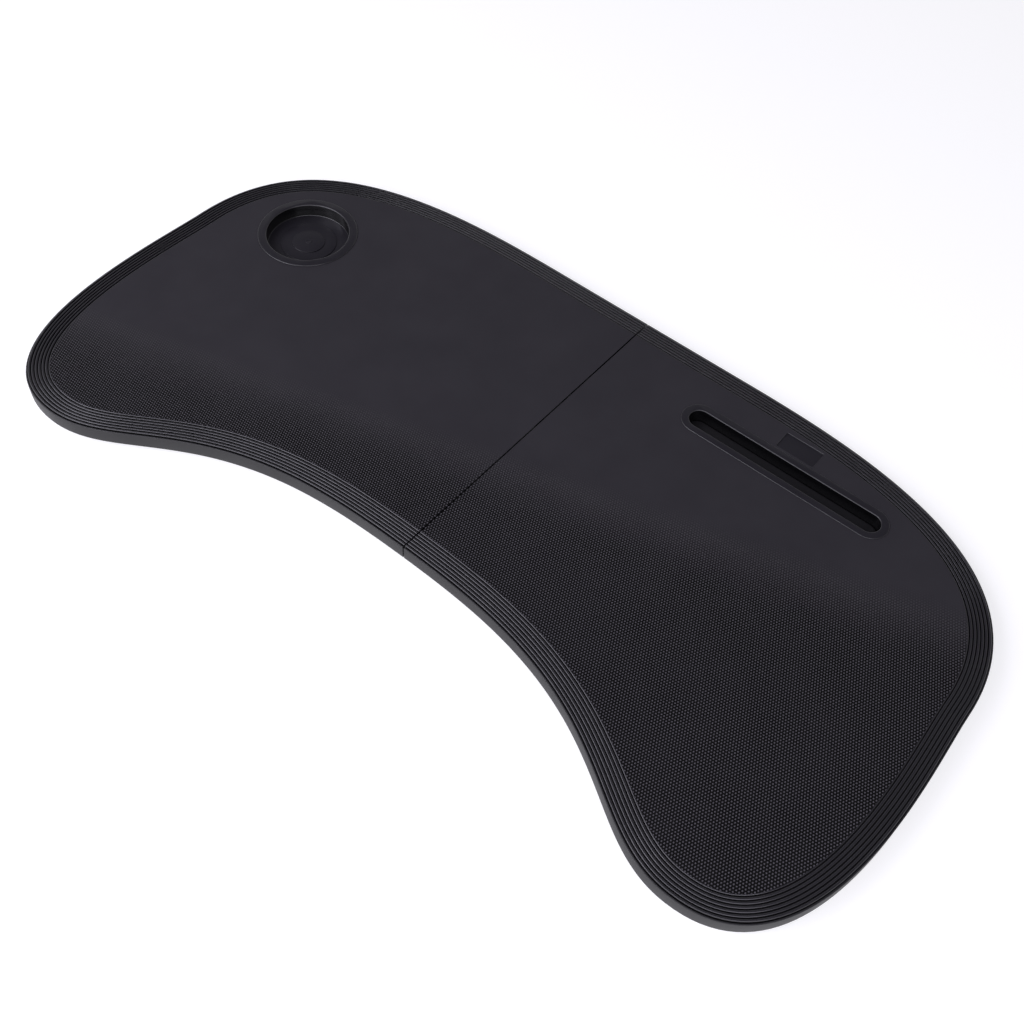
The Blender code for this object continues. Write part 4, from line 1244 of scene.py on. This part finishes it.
    def dress(self) -> None:
        """Adds the half's two skins to the scene."""
        panel = self.panel()
        self.mark_faces(panel)
        panel_node = f"{self.side.word}_top_panel"
        shell_node = f"{self.side.word}_bottom_shell"
        finishes = {
            PanelZone.BORDER: SATIN_ABS,
            PanelZone.FIELD: DOTTED_PAINTED_SHADE_ABS,
            # The recessed faces take the near-black colour of painted shade.
            PanelZone.RECESSED: RECESS_SHADE_ABS,
        }
        skins = [finishes[zone] for zone in PanelZone]
        add_piece(f"{panel_node}_skin", panel, self.side.body, skins, [panel_node])
        add_piece(f"{shell_node}_skin", self.shell(), self.side.body, [MATT_ABS], [shell_node])


@dataclass
class RimHook:
    """A hook on its pivot, in the place of its CAD node."""

    side: Side
    shape: HookShape = field(default_factory=HookShape)

    def dress(self) -> None:
        """Adds the hook on the body that swings."""
        node = f"{self.side.word}_hook"
        low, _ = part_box(node)
        place = (self.side.value * self.shape.x, self.shape.y, low.z)
        mesh = mirrored(self.shape.mesh(), self.side)
        add_piece(f"{node}_moulded", mesh, f"{self.side.word}_wheel_hook", [NYLON], [node], place)


@dataclass
class LockSlide:
    """The lock's bar with its ridged thumb piece."""

    thickness: float = 0.0025
    corner: float = 0.0012
    edge_round: float = 0.0004
    thumb_length: float = 0.016
    thumb_width: float = 0.010
    thumb_corner: float = 0.0015
    thumb_inset: float = 0.006
    ridge_count: int = 4
    ridge_depth: float = 0.0007
    furrow_share: float = 0.4
    furrow_corner_share: float = 0.1
    node: str = "lock_slide"

    def dress(self) -> None:
        """Adds the bar on the body that slides."""
        low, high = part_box(self.node)
        middle = (low + high) / 2
        soft = self.edge_round
        bar_foot = high.z - self.thickness
        bar = stacked(
            rounded(middle.x, middle.y, high.x - low.x, high.y - low.y, self.corner, 4),
            [
                *arc(-soft, bar_foot + soft, soft, 270, 360, 3),
                *arc(-soft, high.z - soft, soft, 0, 90, 3),
            ],
        )
        thumb_x = low.x + self.thumb_inset + self.thumb_length / 2
        thumb = stacked(
            rounded(thumb_x, middle.y, self.thumb_length, self.thumb_width, self.thumb_corner, 5),
            [*arc(-soft, low.z + soft, soft, 270, 360, 3), (0.0, bar_foot + soft)],
        )
        slide = combined(bar, [thumb], Joining.ADD)
        pitch = self.thumb_length / self.ridge_count
        size = pitch * self.furrow_share, self.thumb_width * 2
        sides = [
            (soft, low.z - soft),
            (soft, low.z),
            (0.0, low.z + soft),
            (-soft / 2, low.z + self.ridge_depth),
        ]
        furrows = []
        for number in range(1, self.ridge_count):
            x = thumb_x - self.thumb_length / 2 + pitch * number
            furrow = rounded(x, middle.y, *size, pitch * self.furrow_corner_share, 3)
            furrows.append(stacked(furrow, sides))
        slide = combined(slide, furrows, Joining.CUT)
        add_piece(f"{self.node}_moulded", slide, "lock_bar", [NYLON], [self.node])


@dataclass
class Screw:
    """A cross-drive screw, drawn once and set at each of its CAD nodes."""

    node_stem: str
    finish: Finish
    head_radius: float
    head_height: float
    shank_radius: float
    length: float
    countersunk: bool
    drive_reach: float = 0.0014
    drive_half: float = 0.0003
    drive_depth: float = 0.0009
    edge_round: float = 0.0003
    segments: int = 32

    def mesh(self) -> bpy.types.Mesh:
        """The screw, its head's face at height zero and its shank upwards."""
        soft = self.edge_round
        if self.countersunk:
            head = [(self.head_radius - soft / 2, 0.0), (self.head_radius, soft / 3)]
        else:
            head = [
                *arc(self.head_radius - 2 * soft, 2 * soft, 2 * soft, 270, 360, 4),
                (self.head_radius, self.head_height),
            ]
        radius = self.shank_radius
        shank = [
            (radius, self.head_height),
            (radius, self.length - radius),
            (radius / 4, self.length),
        ]
        solid = turned([*head, *shank], self.segments)
        reach, half = self.drive_reach, self.drive_half
        corner = [(reach, -half), (reach, half), (half, half)]
        quarter_turns = [Matrix.Rotation(math.radians(90 * turn), 2) for turn in range(4)]
        drive = [tuple(turn @ Vector(point)) for turn in quarter_turns for point in corner]
        cut = stacked(drive, [(0.0, -soft), (0.0, 0.0), (-half / 2, self.drive_depth)])
        return combined(solid, [cut], Joining.CUT)

    def dress(self, nodes: dict[str, bpy.types.Object]) -> None:
        """Sets one screw at each CAD node whose name holds the stem.

        Args:
            nodes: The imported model's nodes by name.
        """
        mesh = self.mesh()
        for name in sorted(nodes):
            if self.node_stem in name:
                body, place = nodes[name]["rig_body"], node_foot(name)
                add_piece(f"{name}_turned", mesh, body, [self.finish], [name], place)


@dataclass
class RubberFoot:
    """Round foot with a dished underside and two grip rings."""

    radius: float = 0.009
    edge_round: float = 0.0007
    ring_radii: tuple[float, float] = (0.0044, 0.0066)
    ring_half: float = 0.0003
    ring_depth: float = 0.0004
    dish_radii: tuple[float, float, float] = (0.0004, 0.002, 0.0026)
    dish_depth: float = 0.0002
    segments: int = 64

    def mesh(self, height: float) -> bpy.types.Mesh:
        """The foot, standing on height zero."""
        soft = self.edge_round
        profile = list(zip(self.dish_radii, (self.dish_depth, self.dish_depth, 0.0)))
        for radius in self.ring_radii:
            profile += [
                (radius - 2 * self.ring_half, 0.0),
                (radius - self.ring_half, self.ring_depth),
                (radius + self.ring_half, self.ring_depth),
                (radius + 2 * self.ring_half, 0.0),
            ]
        profile += arc(self.radius - soft, soft, soft, 270, 360, 5)
        profile.append((self.radius, height))
        return turned(profile, self.segments)

    def dress(self) -> None:
        """Sets the six feet."""
        for side in Side:
            for row in FOOT_ROWS:
                node = f"{side.word}_{row}_foot"
                low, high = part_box(node)
                mesh = self.mesh(high.z - low.z)
                add_piece(f"{node}_moulded", mesh, side.body, [RUBBER], [node], node_foot(node))


@dataclass
class PressedHardware:
    """Hardware whose CAD solid is right and is kept, with softened edges: plates, leaves, pins."""

    edge_round: float = 0.00018
    weld: float = 0.00001
    crease_degrees: float = 35.0

    def finish_for(self, name: str) -> Finish:
        """The finish of a carried-over CAD node."""
        return SATIN_ABS if "plate" in name else ZINC_STEEL

    def dress(self, nodes: dict[str, bpy.types.Object]) -> None:
        """Dresses each CAD node that still shows.

        Args:
            nodes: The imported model's nodes by name.
        """
        for name, node in sorted(nodes.items()):
            if node.hide_render:
                continue
            finish = self.finish_for(name)
            node.data.materials.clear()
            node.data.materials.append(finish.material())
            weld = node.modifiers.new("weld split corners", "WELD")
            weld.merge_threshold = self.weld
            bevel = node.modifiers.new("soften edges", "BEVEL")
            bevel.width = self.edge_round
            bevel.segments = 2
            bevel.limit_method = "ANGLE"
            bevel.angle_limit = math.radians(self.crease_degrees)
            LOG.info("%s: CAD solid kept, dressed as %s", name, finish.name)


@dataclass(frozen=True)
class Lamp:
    """A soft rectangular lamp that faces the tray, with its sizes in metres and power in watts."""

    name: str
    place: tuple[float, float, float]
    width: float
    height: float
    power: float
    colour: str = "#f4f2ff"

    def add(self) -> None:
        """Adds the lamp to the scene."""
        data = bpy.data.lights.new(self.name, "AREA")
        data.shape = "RECTANGLE"
        data.size = self.width
        data.size_y = self.height
        data.energy = self.power
        data.color = linear(self.colour)[:3]
        lamp = bpy.data.objects.new(self.name, data)
        lamp.location = self.place
        lamp.rotation_mode = "QUATERNION"
        lamp.rotation_quaternion = (-Vector(self.place)).to_track_quat("-Z", "Y")
        bpy.context.scene.collection.objects.link(lamp)


@dataclass
class Studio:
    """Pale floor, soft lights and the camera at the photograph's angle."""

    camera_place: tuple[float, float, float] = (0.297215, -0.395714, 0.62355)
    camera_back: tuple[float, float, float] = (0.348994, -0.484575, 0.802116)
    roll_degrees: float = 4.533
    lens_mm: float = 43.584
    sensor_mm: float = 36.0
    nearest_seen: float = 0.01
    floor_radius: float = 8.0
    floor_drop: float = 0.0001
    floor_colour: str = "#b6b6b8"
    fibre_colour: str = "#b2b2b4"
    fibre_scale: float = 400.0
    floor_roughness: float = 0.9
    floor_gloss_level: float = 0.1
    floor_glow: float = 0.64
    horizon_colour: str = "#ffffff"
    dome_colour: str = "#64616c"
    dome_rise: tuple[float, float] = (0.12, 0.6)
    lamps: tuple[Lamp, ...] = (
        Lamp("key", (-0.92, -0.88, 1.1), 1.5, 1.0, 17.0),
        Lamp("front", (-0.15, -1.25, 1.1), 1.4, 1.0, 14.0),
        Lamp("fill", (0.95, -0.8, 1.1), 1.2, 0.9, 10.0),
    )

    def add_camera(self) -> None:
        """Sets the camera where the photograph was taken from."""
        data = bpy.data.cameras.new("view")
        data.lens = self.lens_mm
        data.sensor_width = self.sensor_mm
        data.clip_start = self.nearest_seen
        camera = bpy.data.objects.new("view", data)
        bpy.context.scene.collection.objects.link(camera)
        camera.location = self.camera_place
        camera.rotation_mode = "QUATERNION"
        level = (-Vector(self.camera_back)).to_track_quat("-Z", "Y")
        roll = Quaternion((0.0, 0.0, 1.0), math.radians(self.roll_degrees))
        camera.rotation_quaternion = level @ roll
        bpy.context.scene.camera = camera

    def add_floor(self) -> None:
        """Lays the floor, which reads as white and still takes the tray's shadow."""
        bm = bmesh.new()
        bmesh.ops.create_circle(bm, cap_ends=True, segments=64, radius=self.floor_radius)
        mesh = finished(bm)
        material = bpy.data.materials.new("paper_white_matt")
        material.use_nodes = True
        tree = material.node_tree
        shader = tree.nodes["Principled BSDF"]
        output = tree.nodes["Material Output"]
        place = add_node(tree, "ShaderNodeTexCoord")
        fibres = add_node(
            tree, "ShaderNodeTexNoise", None, {"Scale": self.fibre_scale, "Detail": 2.0},
            {"Vector": place.outputs["Object"]},
        )
        tint = add_node(
            tree, "ShaderNodeMix", {"data_type": "RGBA"},
            {6: linear(self.fibre_colour), 7: linear(self.floor_colour)},
            {0: fibres.outputs["Fac"]},
        )
        tree.links.new(tint.outputs[2], shader.inputs["Base Color"])
        shader.inputs["Roughness"].default_value = self.floor_roughness
        shader.inputs["Specular IOR Level"].default_value = self.floor_gloss_level
        paths = add_node(tree, "ShaderNodeLightPath")
        seen = paths.outputs["Is Camera Ray"]
        for ray in ("Is Glossy Ray", "Is Transmission Ray"):
            seen = add_node(
                tree, "ShaderNodeMath", {"operation": "MAXIMUM"}, None,
                {0: seen, 1: paths.outputs[ray]},
            ).outputs[0]
        strength = add_node(
            tree, "ShaderNodeMath", {"operation": "MULTIPLY"}, {1: self.floor_glow}, {0: seen}
        )
        glow = add_node(
            tree, "ShaderNodeEmission", None, {"Color": (1.0, 1.0, 1.0, 1.0)},
            {"Strength": strength.outputs[0]},
        )
        both = add_node(
            tree, "ShaderNodeAddShader", None, None, {0: shader.outputs[0], 1: glow.outputs[0]}
        )
        tree.links.new(both.outputs[0], output.inputs["Surface"])
        mesh.materials.append(material)
        floor = bpy.data.objects.new("floor", mesh)
        floor.location.z = -self.floor_drop
        bpy.context.scene.collection.objects.link(floor)

    def add_dome(self) -> None:
        """Lights the tray from a dome that is white at the horizon and greyer overhead."""
        world = bpy.data.worlds.new("studio")
        bpy.context.scene.world = world
        world.use_nodes = True
        tree = world.node_tree
        background = tree.nodes["Background"]
        place = add_node(tree, "ShaderNodeTexCoord")
        axes = add_node(tree, "ShaderNodeSeparateXYZ", None, None, {0: place.outputs["Generated"]})
        rise = add_node(
            tree, "ShaderNodeMapRange", {"interpolation_type": "SMOOTHSTEP"},
            {"From Min": self.dome_rise[0], "From Max": self.dome_rise[1]},
            {"Value": axes.outputs["Z"]},
        )
        sky = add_node(
            tree, "ShaderNodeMix", {"data_type": "RGBA"},
            {6: linear(self.horizon_colour), 7: linear(self.dome_colour)}, {0: rise.outputs[0]},
        )
        tree.links.new(sky.outputs[2], background.inputs["Color"])
        background.inputs["Strength"].default_value = 1.0

    def build(self) -> None:
        """Builds the whole studio."""
        bpy.context.scene.view_settings.view_transform = "Standard"
        self.add_camera()
        self.add_floor()
        self.add_dome()
        for lamp in self.lamps:
            lamp.add()


def main() -> None:
    """Builds and dresses the tray, piece by piece."""
    logging.basicConfig(level=logging.INFO, format="%(name)s: %(message)s")
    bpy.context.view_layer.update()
    nodes = frame["nodes"]
    for side in Side:
        TrayHalf(side).dress()
        RimHook(side).dress()
    LockSlide().dress()
    Screw(
        "case_screw", BLACK_STEEL, head_radius=0.0026, head_height=0.0013, shank_radius=0.0012,
        length=0.0078, countersunk=False,
    ).dress(nodes)
    for stem in ("hinge_screw", "cover_screw", "keeper_screw"):
        Screw(
            stem, ZINC_STEEL, head_radius=0.0022, head_height=0.001, shank_radius=0.001,
            length=0.0052, countersunk=True,
        ).dress(nodes)
    RubberFoot().dress()
    PressedHardware().dress(nodes)
    Studio().build()


if __name__ == "__main__":
    main()
